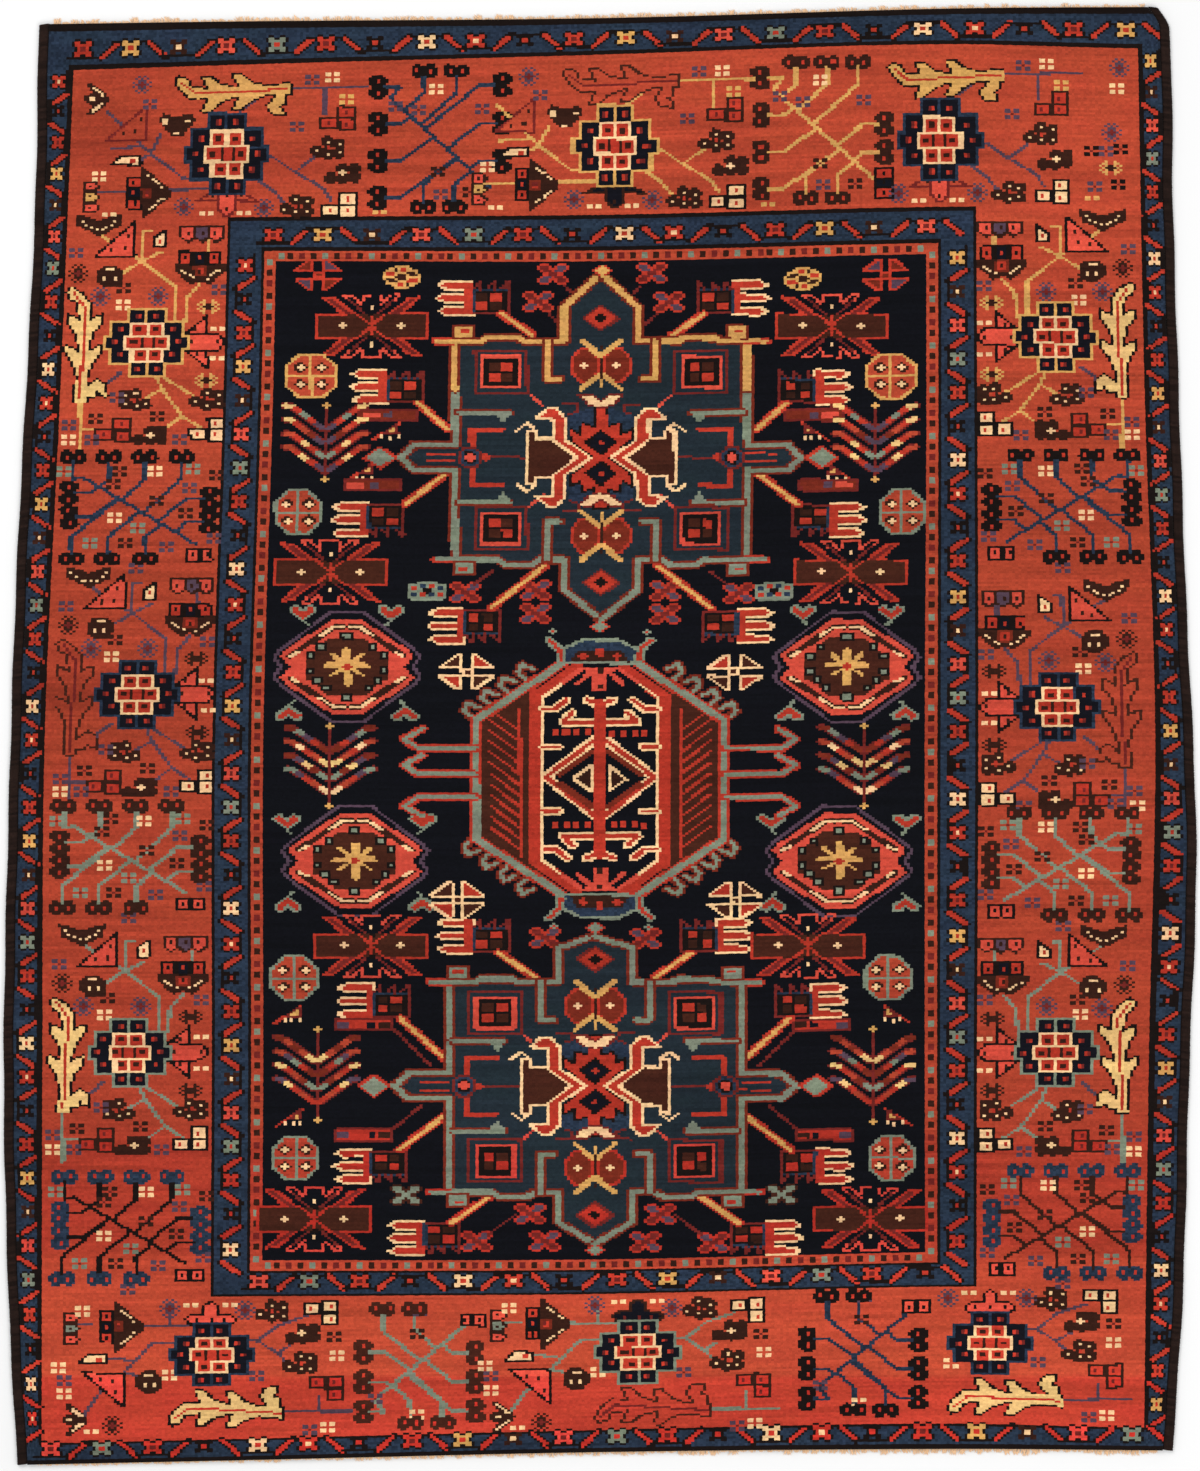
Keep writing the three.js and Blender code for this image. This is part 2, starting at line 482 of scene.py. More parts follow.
def lay_guards():
    """Stars along the middle of both guard stripes."""
    for outer, inner, side_start, end_start in GUARDS:
        side = (SIDE_BANDS[outer] + SIDE_BANDS[inner] - 1) // 2
        top = (TOP_BANDS[outer] + TOP_BANDS[inner]) // 2
        bottom = ROWS - 1 - (BOTTOM_BANDS[outer] + BOTTOM_BANDS[inner]) // 2
        for first_star, col in enumerate((side, COLS - 1 - side)):
            rows = spaced(top + side_start, bottom - side_start, STAR_ROWS)
            star_run([(row, col) for row in rows], STAR_ROWS * KNOT_TALL, False, 3 * first_star)
        for first_star, row in enumerate((top, bottom)):
            cols = spaced(side + end_start, COLS - 1 - side - end_start, STAR_COLS)
            star_run([(row, col) for col in cols], STAR_COLS * KNOT_WIDE, True, 2 + 3 * first_star)


def star_run(knots, step, along_end, first_star):
    """Stars at these knots in turn, each with its piece of the wave."""
    for i, (row, col) in enumerate(knots):
        arms, middle = STAR_CYCLE[(i + first_star) % len(STAR_CYCLE)]
        pen = Pen(knot_x[row, col], knot_y[row, col], turned=along_end)
        guard_wave(pen, step, i % 2, along_end)
        yarns = {"a": arms, "b": middle}
        if arms not in ("black", "brown"):
            yarns["k"] = "black"
        pen.stamp(0, 0, GUARD_END if along_end else GUARD_SIDE, yarns)


def guard_wave(pen, step, odd, along_end):
    """A black wave that passes a star on one side, and the red bar that slants across to the next star."""
    half = step / 2
    lean, reach = (8, 6.8) if along_end else (5.4, 8.2)
    if odd:
        reach = -reach
    pen.line([(reach, -half + lean), (reach, half - lean)], "black", 3.4)
    bar = [(reach, half - lean), (-reach, half + lean)]
    pen.line(bar, "black", 7.6)
    pen.line(bar, "red", 4.2)


DOT_CYCLE = ["sage", "brown", "wine", "brown"]
DOT_ROWS = 5.4                 # from square to square along a side, in knots
DOT_COLS = 3.9                 # and along an end


def lay_dots():
    """The dotted stripe round the field: one pale square, then three dark ones."""
    side, top, bottom = SIDE_BANDS["dotted"], TOP_BANDS["dotted"], ROWS - BOTTOM_BANDS["dotted"]
    squares = []
    for i, row in enumerate(spaced(top + 4, bottom - 7, DOT_ROWS)):
        squares += [(i, row, side + 1), (i, row, COLS - side - 3)]
    for i, col in enumerate(spaced(side + 5, COLS - side - 7, DOT_COLS)):
        squares += [(i, top + 1, col), (i, bottom - 4, col)]
    for i, row, col in squares:
        chart[row:row + 3, col:col + 2] = YARN_NUMBER[DOT_CYCLE[i % len(DOT_CYCLE)]]


# Flowers of the border. For their pens u runs away from the outer edge and v along it

# Half of the rosette in knots from its middle: near and far columns, upper and lower rows
PETALS = [
    (0.5, 5.5, -15.5, -9.5), (0.5, 5.5, 9.5, 15.5),
    (5.5, 11.5, -9.5, -2.5), (7.5, 13.5, -2.5, 2.5), (5.5, 11.5, 2.5, 9.5),
]
HEARTS = [(0.5, 4.5, -8.5, -3.5), (2.5, 6.5, -2.5, 2.5), (0.5, 4.5, 3.5, 8.5)]


def rosette(x, y, edge, stretch):
    """Ten dark squares round six pale-edged red ones."""

    def both(near, far, upper, lower, yarn):
        for half in Pen(x, y).halves():
            half.block(near * KNOT_WIDE, upper * KNOT_TALL * stretch,
                       far * KNOT_WIDE, lower * KNOT_TALL * stretch, yarn)

    for near, far, upper, lower in PETALS:
        both(near - 1, far + 1, upper - 1, lower + 1, edge)
    for near, far, upper, lower in PETALS:
        both(near, far, upper, lower, "navy")
        column, row = (near + far) / 2, (upper + lower) / 2
        both(column - 0.9, column + 1.1, row - 1, row + 1, "wine")
        both(column - 0.9, column + 0.1, row - 1, row + 1, "red")
    both(-0.5, 5.5, -9.5, 9.5, "cream")
    both(-0.5, 7.5, -3.5, 3.5, "cream")
    for near, far, upper, lower in HEARTS:
        both(near, far, upper, lower, "red")
        column, row = (near + far) / 2, (upper + lower) / 2
        both(column - 1, column + 1, row - 1, row + 1, "brown")
    both(-0.5, 2.5, -2.5, 2.5, "brown")
    both(-0.5, 1.5, -2.5, 2.5, "red")


# The leaf stands on its foot and leans away from the edge. It has two pairs of pointed blades
LEAF_TRUNK = 4.4               # half its width
LEAF_FEET = (25, 56)           # where the pairs of blades leave the trunk, up from the foot
LEAF_LEAN = 0.06
LEAF_EDGE = 4.4                # width of the line round it
BLADE = [(4.4, 0), (9, 14), (17, 24), (17, 31), (4.4, 25)]   # away from the trunk's middle, up from its foot
LEAF_TIP = [(10, 92), (10, 98), (2, 108), (-8, 114), (-12, 110), (-9, 103), (-2, 100)]
LEAF_SHOOT = [(4, -12), (17, -22), (24, -18), (26, -6), (20, -8), (17, -12), (14, -5), (4, -5)]


def leaf(pen, yarn, vein, edge):
    """A slim leaf with pointed blades, its tip hooked over and a shoot at its foot."""
    sides = {}
    for side in (-1, 1):
        sides[side] = [(side * (LEAF_TRUNK + 1), 0)]
        for foot in LEAF_FEET:
            sides[side] += [((foot + up) * LEAF_LEAN + side * out, -foot - up) for out, up in BLADE]
    trunk = sides[1] + [(u, -up) for u, up in LEAF_TIP] + sides[-1][::-1]
    for shape in (trunk, LEAF_SHOOT):
        pen.line(shape + shape[:1], edge, LEAF_EDGE)
    for shape in (trunk, LEAF_SHOOT):
        pen.fill(shape, yarn)
    pen.line([(0, -3), (5, -94), (-6, -109)], vein)


def marked_square(pen, u, v, width, height, yarn, mark, edge="black"):
    """A square with a dark line round it and a mark in the middle."""
    pen.box(u, v, width, height, yarn, edge)
    pen.dot(u, v, mark, 1, 2)


def palmette(pen):
    """A dark boat-shaped flower, three squares along its flat side."""
    for u, yarn, mark in ((-14, "red", "black"), (0, "navy", "red"), (14, "red", "black")):
        marked_square(pen, u, -10, 12, 13, yarn, mark)
    pen.fill(mirrored([(0, -3), (26, -4), (26, 3), (9, 17), (0, 13)]), "brown")
    marked_square(pen, 0, 3, 10, 10, "red", "brown", "russet")
    for half in pen.halves():
        half.dots([(18 - 3.6 * k, 3 + 2.4 * k) for k in range(4)], "cream")


def palmette_turned(pen):
    """The same flower lying along the border, with its point towards +u."""
    for v, yarn, mark in ((-10.5, "red", "black"), (0, "navy", "red"), (10.5, "red", "black")):
        marked_square(pen, -7, v, 13, 10, yarn, mark)
    pen.fill(mirrored_down([(0, -26), (3, -26), (30, -3)]), "brown")
    marked_square(pen, 6, 0, 8, 9, "red", "wine", "russet")
    for end in pen.ends():
        end.dots([(8 + 3.4 * k, 17 - 2.7 * k) for k in range(5)], "cream")


def bud(pen):
    """A pale bud standing up, cut slanting at its tip."""
    pen.fill([(-6, 7), (-6, -2), (6, -10), (6, 7)], "cream", "black")
    pen.dot(0, 1, "red", 1, 2)


def bud_turned(pen):
    """A pale bud lying along the border, its tip towards -u."""
    pen.fill([(-17, 5), (-8, -4), (12, -4), (12, 5)], "cream", "black")
    pen.dot(4, 0.5, "red", 2, 2)


def triangle(pen, yarn="salmon", edge="black", down=1):
    """A three-cornered flower standing on its flat side, or hanging from it."""
    pen.fill([(-20, 16 * down), (20, 16 * down), (20, -18 * down)], yarn, edge)
    pen.dots([(13, -4 * down), (9, 8 * down), (-3, 10 * down)], "brown", 1, 2)


def boat(pen):
    """A dark winged flower with pale dashes."""
    pen.fill(mirrored([(0, -4), (10, -8), (23, -11), (22, 1), (9, 7), (0, 12)]), "brown")
    for half in pen.halves():
        half.dots([(17, -4), (13, 0), (8, 3), (3, 5)], "cream")


def tulip(pen):
    """A round dark flower with three pale marks."""
    pen.disc(0, 0, 13.5, 11, "brown")
    pen.dot(0, -6, "cream", 3, 1)
    pen.dots([(-5, 3), (5, 3)], "cream", 1, 2)


def mask_tulip(pen):
    """A broad dark flower like a mask, with three pale marks."""
    pen.fill(mirrored([(0, -8), (14, -12), (19, -5), (6, 11)]), "brown")
    pen.dot(-12, -4, "cream", 2, 3)
    pen.dots([(10, -3), (0, 8)], "cream", 2, 1)


def split_tulip(pen):
    """A dark flower of three pointed petals opening towards -u."""
    pen.fill(mirrored_down([(-12, -3), (-4, -6), (-11, -15), (-5, -16), (9, -6), (13, 0)]), "brown")
    for end in pen.ends():
        end.line([(6, 4), (-4, 12)], "cream")
    pen.dot(-5, 0, "cream", 2, 1)


# Buds on rosettes: yarn, wings, dark line
BUDS = {
    "salmon": ("salmon", "salmon", "black"),
    "open": ("salmon", "rust", "wine"),
    "dark": ("navy", "navy", "brown"),
}


def winged_bud(pen, kind, near, line, tail, span):
    """A bud on the side of a rosette, its wings spread along a dark line at distance `line`."""
    yarn, wing, edge = BUDS[kind]
    wings = [(near, -8), (line, -span), (line, span), (near, 8)]
    pen.fill(wings, wing)
    pen.line(wings, edge)
    pen.fill(mirrored_down([(near, -9), (tail - 6, -8), (tail, -2)]), yarn, edge)
    middle = (near + line) / 2
    pen.dots([(middle, -13), (middle, 13), (near + 6, 0), (tail - 6, 0)], "brown", 1, 2)


def crown(pen, kind):
    """A low pointed bud on top of a rosette."""
    yarn, _, edge = BUDS[kind]
    pen.fill(mirrored([(0, -53), (7, -49), (7, -41), (20, -40), (26, -36), (19, -29)]), yarn, edge)
    pen.dots([(-14, -35), (0, -35), (14, -35)], "wine" if kind == "dark" else "black", 1, 2)


# Places of the overlapping rounds in each kind of bunch
BUNCH = [(-9, -5), (2, -6), (-9, 4), (2, 6), (11, 4)]
LOW_BUNCH = [(-12, 3), (-1, -6), (10, -4), (-1, 6), (10, 5)]
DARK_BUNCH = [(-12, 5), (0, -4), (0, 5), (11, -4), (11, 4)]


def bunch(pen, lobes, cross=False):
    """Five dark rounds with small pale dots, or with one pale cross."""
    for u, v in lobes:
        pen.disc(u, v, 6.6, 5.8, "brown")
    if cross:
        pen.stamp(0, 0, PLUS, {"a": "cream"})
    else:
        pen.dot(0, 0, "red", 1, 2)
        pen.dots(lobes, "cream")


def three_squares(pen, yarn, mark, edge, down=1):
    """Three squares, one of them set on the others."""
    for u, v in ((-9, 5), (9, -6), (9, 6)):
        marked_square(pen, u, v * down, 16, 11, yarn, mark, edge)


def twin_squares(pen):
    """Two squares side by side."""
    for u in (-7, 7):
        marked_square(pen, u, 0, 11.5, 12, "salmon", "black")


def squares_stacked(pen):
    """Three squares one above the other."""
    for v, yarn in ((-9.5, "red"), (0, "navy"), (9.5, "red")):
        marked_square(pen, 0, v, 17, 10, yarn, "black")


def buds_of_three(pen):
    """Three buds side by side with pointed feet."""
    for u, yarn in ((-14, "salmon"), (0, "slate"), (14, "salmon")):
        pen.fill([(u - 7, -7), (u + 7, -7), (u + 7, 3), (u, 8), (u - 7, 3)], yarn, "brown")
        pen.dot(u, -1, "brown", 1, 2)


def buds_stacked(pen, middle):
    """Three buds one above the other, pointed towards +u."""
    for v, yarn in ((-10.5, "salmon"), (0, middle), (10.5, "salmon")):
        pen.fill([(-7, v - 4.4), (4, v - 4.4), (8, v), (4, v + 4.4), (-7, v + 4.4)], yarn, "brown")
        pen.dot(-1, v, "brown")


# What draws each flower, and with what after its pen
FLOWERS = {
    "palmette": (palmette,),
    "palmette_turned": (palmette_turned,),
    "bud": (bud,),
    "bud_turned": (bud_turned,),
    "triangle": (triangle,),
    "triangle_line": (triangle, "rust", "wine"),
    "triangle_down": (triangle, "salmon", "black", -1),
    "boat": (boat,),
    "tulip": (tulip,),
    "mask_tulip": (mask_tulip,),
    "split_tulip": (split_tulip,),
    "bunch": (bunch, BUNCH),
    "low_bunch": (bunch, LOW_BUNCH),
    "dark_bunch": (bunch, DARK_BUNCH, True),
    "pale": (three_squares, "cream", "red", "black"),
    "pale_low": (three_squares, "cream", "red", "black", -1),
    "plain": (three_squares, "red", "wine", "brown"),
    "plain_low": (three_squares, "red", "wine", "brown", -1),
    "buds": (buds_of_three,),
    "buds_gold": (buds_stacked, "gold"),
    "buds_sage": (buds_stacked, "sage"),
}

# Small scattered flowers: art, yarn of the middle. The middle of a pale one is rust
TINY = {
    "four": (FOUR, "wine"),
    "pale_four": (FOUR, "rust"),
    "pair": (PAIR, "rust"),
    "star": (STAR, "brown"),
    "starlet": (STARLET, "wine"),
}


def lay_tiny(pen, scattered):
    """Scattered small flowers, the places u, v of each kind and yarn."""
    for (kind, yarn), places in scattered.items():
        art, middle = TINY[kind]
        for u, v in places:
            pen.stamp(u, v, art, {"a": yarn, "b": middle})


def lay_repeat(pen, repeat, stem_yarn):
    """Stems first, then flowers on their ends, then small flowers between them."""
    for points in repeat["stems"]:
        pen.line(points, stem_yarn, 3.0)
    for kind, u, v in repeat["flowers"]:
        draw, *values = FLOWERS[kind]
        draw(pen.moved(u, v), *values)
    lay_tiny(pen, repeat["tiny"])


# One repeat of the side border, from the rosette's middle. Flowers: kind, u, v
SIDE_PART = {
    "flowers": [
        ("boat", -48, -117), ("triangle", -32, -102), ("bud", 13, -102), ("tulip", -37, -66),
        ("buds", 55, -108), ("palmette", 53, -74), ("bunch", -13, 58), ("low_bunch", 61, 57),
        ("dark_bunch", 3, 93), ("pale", 60, 87), ("plain", -34, 88),
    ],
    "tiny": {
        ("starlet", "slate"): [(10, -46), (-46, -45)],
        ("starlet", "brown"): [(-68, -68)],
        ("four", "slate"): [(-30, 56), (71, -52), (-72, -88), (-78, 84), (-56, 97), (33, 98)],
        ("four", "brown"): [(-22, -54), (10, 74), (-52, 77)],
        ("pale_four", "cream"): [(-25, -38), (-78, 98)],
        ("pair", "cream"): [(70, -13), (70, 18)],
    },
    "stems": [
        [(-49, -109), (-5, -81), (28, -56), (28, -20)],
        [(-24, -69), (-5, -81), (-4, -111), (4, -111)],
        [(14, -90), (-5, -81)],
        [(61, -101), (61, -92)],
        [(53, -58), (40, -44), (38, -20)],
        [(10, 36), (15, 47), (35, 74), (54, 86)],
        [(-4, 58), (15, 47)],
        [(14, 89), (35, 74)],
        [(18, 36), (50, 56)],
        [(-67, 60), (-67, 110)],
        [(-67, 88), (-40, 88)],
    ],
}

# One repeat of the top border. The last repeat lacks the left part
TOP_LEFT = {
    "flowers": [
        ("mask_tulip", -50, -29), ("triangle_line", -100, -30), ("bud_turned", -98, 6),
        ("palmette_turned", -86, 39), ("buds_gold", -136, 43),
    ],
    "tiny": {
        ("starlet", "slate"): [(-86, -69)],
        ("four", "slate"): [(-76, -50)],
        ("pale_four", "cream"): [(-128, 22)],
        ("pair", "cream"): [(-118, 62)],
    },
    "stems": [
        [(-119, -42), (-76, 0), (-44, 24), (-20, 25)],
        [(-66, -20), (-76, 0), (-88, 6)],
        [(-116, -5), (-84, -8)],
        [(-58, 36), (-20, 35)],
        [(-130, 38), (-101, 37)],
    ],
}
TOP_RIGHT = {
    "flowers": [
        ("plain", 111, -36), ("low_bunch", 102, -6), ("dark_bunch", 116, 19),
        ("low_bunch", 70, 52), ("pale", 112, 51),
    ],
    "tiny": {
        ("starlet", "slate"): [(-42, 53), (37, 53)],
        ("four", "slate"): [(84, -75), (71, -27)],
        ("pale_four", "cream"): [(106, -76)],
        ("pale_four", "gold"): [(120, -54)],
        ("pair", "cream"): [(-21, 61), (18, 61)],
        ("pair", "gold"): [(152, 59)],
    },
    "stems": [
        [(44, 2), (68, 18), (96, 34), (104, 46)],
        [(68, 18), (90, 2)],
        [(27, 23), (46, 36), (58, 50)],
        [(64, -66), (140, -67)],
        [(98, -66), (98, -40)],
        [(13, -43), (35, -58)],
    ],
}

# One repeat of the bottom border, its left part apart in the same way
BOTTOM_LEFT = {
    "flowers": [
        ("buds_sage", -140, -26), ("palmette_turned", -98, -28), ("bud_turned", -116, 4),
        ("triangle_down", -108, 34), ("tulip", -62, 27), ("split_tulip", -136, 65),
    ],
    "tiny": {
        ("starlet", "brown"): [(-98, 70)],
        ("four", "slate"): [(-146, 25)],
        ("pale_four", "cream"): [(-129, -44), (-154, 13), (-148, 39)],
        ("pair", "cream"): [(-120, 77)],
    },
    "stems": [
        [(-133, -30), (-118, -30)],
        [(-79, -29), (-18, -29)],
        [(-40, -29), (-41, -42)],
        [(-37, -12), (-58, -12), (-87, 17), (-115, 42), (-128, 61)],
        [(-102, 3), (-82, 5)],
        [(-87, 17), (-75, 20)],
    ],
}
BOTTOM_RIGHT = {
    "flowers": [
        ("low_bunch", 62, -44), ("pale_low", 110, -42), ("dark_bunch", 92, -22),
        ("low_bunch", 90, 8), ("plain_low", 115, 33),
    ],
    "tiny": {
        ("starlet", "slate"): [(-42, -46), (35, -45)],
        ("four", "slate"): [(47, 20), (99, 74)],
        ("four", "brown"): [(123, -19)],
        ("pale_four", "cream"): [(-40, 21), (125, 0), (117, 72)],
        ("pair", "cream"): [(-20, -49), (19, -49)],
    },
    "stems": [
        [(20, -16), (47, -14), (68, -30), (96, -39)],
        [(47, -14), (66, -2), (80, 11)],
        [(66, -2), (80, -10)],
        [(73, 57), (140, 56)],
        [(107, 56), (107, 40)],
    ],
}

# Repeats on the sides: x, y, mirror, edge, leaf, stems
SIDE_REPEATS = [
    (147, 342, 1, "gold", "straw", "gold"),
    (137, 694, 1, "blue", "outline", "slate"),
    (130, 1052, 1, "sage", "straw", "sage"),
    (1055, 337, -1, "gold", "straw", "gold"),
    (1058, 707, -1, "blue", "outline", "slate"),
    (1056, 1053, -1, "sage", "straw", "sage"),
]

# Repeats at the ends: x, y, edge, leaf, stems, bud, whether the left part is woven
TOP_REPEATS = [
    (227, 154, "blue", "gold", "slate", "open", True),
    (615, 146, "gold", "outline", "gold", "dark", True),
    (940, 140, "blue", "gold", "slate", "open", False),
]
BOTTOM_REPEATS = [
    (211, 1355, "blue", "straw", "slate", "salmon", True),
    (638, 1352, "sage", "outline", "sage", "dark", True),
    (990, 1343, "blue", "straw", "slate", "salmon", False),
]


def lay_leaf(pen, kind):
    """A leaf filled with one yarn, or only outlined."""
    if kind == "outline":
        leaf(pen, "rust", "wine", "umber")
    else:
        leaf(pen, kind, "red", "black")


def side_repeat(x, y, mirror, edge, leaf_kind, stem_yarn):
    pen = Pen(x, y, mirror)
    lay_repeat(pen, SIDE_PART, stem_yarn)
    winged_bud(pen, "salmon", near=38, line=60, tail=77, span=26)
    pen.line([(-26, 30), (-44, 44)], "slate", 3.6)
    lay_tiny(pen, {("star", "gold" if edge == "gold" else "brown"): [(62, -35), (62, 38)]})
    lay_leaf(pen.moved(-67, 60), leaf_kind)
    rosette(x, y, edge, 1.0)


def top_repeat(x, y, edge, leaf_kind, stem_yarn, bud_kind, left_part):
    pen = Pen(x, y)
    if left_part:
        lay_repeat(pen, TOP_LEFT, stem_yarn)
    else:
        squares_stacked(pen.moved(-56, 43))
    lay_repeat(pen, TOP_RIGHT, stem_yarn)
    winged_bud(Pen(x, y, turned=True), bud_kind, near=36, line=47, tail=62, span=31)
    lay_leaf(Pen(x + 63, y - 65, turned=True), leaf_kind)
    rosette(x, y, edge, 1.2)


def bottom_repeat(x, y, edge, leaf_kind, stem_yarn, bud_kind, left_part):
    pen = Pen(x, y)
    if left_part:
        lay_repeat(pen, BOTTOM_LEFT, stem_yarn)
    lay_repeat(pen, BOTTOM_RIGHT, stem_yarn)
    crown(pen, bud_kind)
    lay_leaf(Pen(x + 72, y + 58, mirror_u=-1, turned=True), leaf_kind)
    rosette(x, y, edge, 0.91)


# Trees of ring pairs. Each side: how many pairs, where the first is along it, and the step to the next
SIDE_TREE = {
    "half": (70, 51),
    "top": (4, -66, 36), "bottom": (3, -68, 37), "near": (2, -15, 24), "far": (2, -10, 24),
    "squares": (60, 47),
    "tiny": {
        ("four", "sage"): [(-74, -36), (53, -38), (0, 20), (-49, 36)],
        ("four", "brown"): [(-20, -37), (76, -32), (-27, -25), (17, -7), (46, 6), (-15, 36)],
        ("four", "slate"): [(50, -21), (74, 30), (27, 38), (-2, 61)],
        ("pale_four", "cream"): [(15, -36), (-25, 9)],
    },
}
TOP_TREE = {
    "half": (62, 68),
    "top": (2, -16, 32), "bottom": (2, -17, 31), "near": (4, -52, 37), "far": (3, -54, 38),
    "tiny": {
        ("four", "slate"): [(-44, -33), (1, 55), (42, -30), (-20, -28)],
        ("four", "brown"): [(-2, 33), (31, 53)],
        ("pale_four", "cream"): [(-3, -49)],
    },
}
GOLD_TREE = {**TOP_TREE, "top": (3, -27, 31), "far": (2, -6, 28)}
BOTTOM_TREE = {
    "half": (56, 57),
    "top": (2, -9, 32), "bottom": (2, -36, 32), "near": (3, -46, 30), "far": (3, -45, 29),
    "squares": (54, 46),
    "tiny": {
        ("four", "slate"): [(-44, -33), (1, 55)],
        ("four", "brown"): [(-2, 33)],
        ("pale_four", "cream"): [(-3, -49)],
    },
}

# Trees: x, y, mirror u, mirror v, kind, branches, rings
TREES = [
    (139, 508, 1, 1, SIDE_TREE, "blue", "black"),
    (130, 857, 1, 1, SIDE_TREE, "sage", "brown"),
    (130, 1228, 1, 1, SIDE_TREE, "black", "blue"),
    (1062, 506, -1, 1, SIDE_TREE, "blue", "black"),
    (1061, 864, -1, 1, SIDE_TREE, "sage", "brown"),
    (1062, 1222, -1, 1, SIDE_TREE, "brown", "blue"),
    (440, 139, 1, 1, TOP_TREE, "blue", "black"),
    (823, 130, 1, 1, GOLD_TREE, "gold", "brown"),
    (419, 1366, 1, -1, BOTTOM_TREE, "sage", "umber"),
    (863, 1353, 1, -1, BOTTOM_TREE, "blue", "black"),
]

# For each side of a tree: which way its stems start, and which way they then slant to the trunk
STEM_START = {"top": (0, 1), "bottom": (0, -1), "near": (1, 0), "far": (-1, 0)}
STEM_SLANT = {"top": (-1, 0.9), "bottom": (1, -0.8), "near": (1, -0.7), "far": (-1, 0.8)}
STEM_FOOT = 22                 # from a pair's middle to where its stem begins to slant
BRANCH = 3.6                   # width of trunk and stems


def onto_trunk(foot, slant, start, end):
    """Where a slanting stem meets the trunk, kept to the trunk's length."""
    run = (end[0] - start[0], end[1] - start[1])
    turn = slant[0] * run[1] - slant[1] * run[0]
    share = (slant[0] * (foot[1] - start[1]) - slant[1] * (foot[0] - start[0])) / turn
    share = min(max(share, 0), 1)
    return start[0] + share * run[0], start[1] + share * run[1]


def ring_pair(pen, u, v, stacked, ring):
    """Two rounds with a red knot in each, one over the other or side by side."""
    for side in (-1, 1):
        du, dv = (0, 6 * side) if stacked else (6.4 * side, 0)
        radius_u, radius_v = (10, 6.2) if stacked else (7, 7)
        pen.disc(u + du, v + dv, radius_u, radius_v, ring)
        pen.dot(u + du, v + dv, "red", 1, 2)


def tree(pen, kind, branch, ring):
    """Ring pairs along four sides, each on a stem that slants to a trunk from corner to corner."""
    half_u, half_v = kind["half"]
    start, end = (-0.8 * half_u, -0.6 * half_v), (0.8 * half_u, 0.7 * half_v)
    pen.line([start, end], branch, BRANCH)
    pairs = []
    for side, (out_u, out_v) in STEM_START.items():
        count, first, step = kind[side]
        stacked = side in ("near", "far")
        for place in (first + step * k for k in range(count)):
            u, v = (-out_u * half_u, place) if stacked else (place, -out_v * half_v)
            foot = (u + out_u * STEM_FOOT, v + out_v * STEM_FOOT)
            pen.line([(u, v), foot, onto_trunk(foot, STEM_SLANT[side], start, end)], branch, BRANCH)
            pairs.append((u, v, stacked))
    lay_tiny(pen, kind["tiny"])
    for pair in pairs:
        ring_pair(pen, *pair, ring)
    if "squares" in kind:
        twin_squares(pen.moved(*kind["squares"]))


# Small flowers in the top right corner, their places on the cartoon
CORNER_TINY = {
    ("starlet", "slate"): [(1120, 67), (1112, 133)],
    ("four", "slate"): [(1106, 151), (1095, 186)],
    ("four", "black"): [(1091, 151), (1122, 150), (1119, 185)],
    ("pale_four", "cream"): [(1117, 89)],
    ("star", "gold"): [(1111, 167)],
}


def lay_border():
    for repeat in SIDE_REPEATS:
        side_repeat(*repeat)
    for x, y, mirror_u, mirror_v, kind, branch, ring in TREES:
        tree(Pen(x, y, mirror_u, mirror_v), kind, branch, ring)
    for repeat in TOP_REPEATS:
        top_repeat(*repeat)
    for repeat in BOTTOM_REPEATS:
        bottom_repeat(*repeat)
    page = Pen(0, 0)
    split_tulip(page.moved(97, 99))
    lay_tiny(page, CORNER_TINY)


# Field

def comb(pen, down=1):
    """A comb of three pale-edged red fingers on a chequered block. It points along -u."""
    pen = pen.moved(0, 0, 1, down)
    for v in (-13, 0, 13):
        tip = -26 if v else -28
        pen.fill([(tip, v), (tip + 8, v - 4), (9, v - 4), (9, v + 4), (tip + 8, v + 4)], "red", "cream")
    pen.box(5, 0, 8, 32, "red")
    pen.box(27, -3, 37, 24, "black")
    pen.line([(10, -15), (10, 8), (43, 8)], "blue", 2.7)
    pen.line([(10, -15), (45, -15), (45, 16)], "wine")
    for u, v, yarn in ((18.5, -8, "red"), (33, -8, "brown"), (18.5, 1, "brown"), (33, 1, "red")):
        pen.box(u, v, 11, 7.2, yarn)
    for u in (17, 30, 44):
        pen.line([(u - 7, 9), (u, 16), (u, 8)], "wine")


def cross_flower(pen):
    """A flower of one long brown body and eight slanting arms."""
    for part in pen.quarters():
        part.fill([(9, 6), (38, 28), (49, 29), (27, 11)], "wine", "red", THIN)
        part.line([(22, 25), (28, 31), (20, 31), (10, 22)], "salmon", THIN)
        part.line([(3, 9), (22, 26)], "wine", THIN)
    pen.box(0, 0, 112, 23, "umber")
    for half in pen.halves():
        half.line([(26, -12), (56, -12), (56, 12), (26, 12)], "red", THIN)
        half.stamp(29, 0, PLUS, {"a": "cream"})
    for end in pen.ends():
        end.fill([(-4, 13), (0, 4), (4, 13)], "black")
        end.line([(-9, 25), (-9, 31), (9, 31), (9, 25)], "salmon", THIN)
        end.dot(0, 18.5, "cream", 1, 2)
    for part in pen.quarters():
        part.line([(2, 2), (14, 12)], "red", THIN)
    pen.line([(0, -9), (0, 8)], "red")


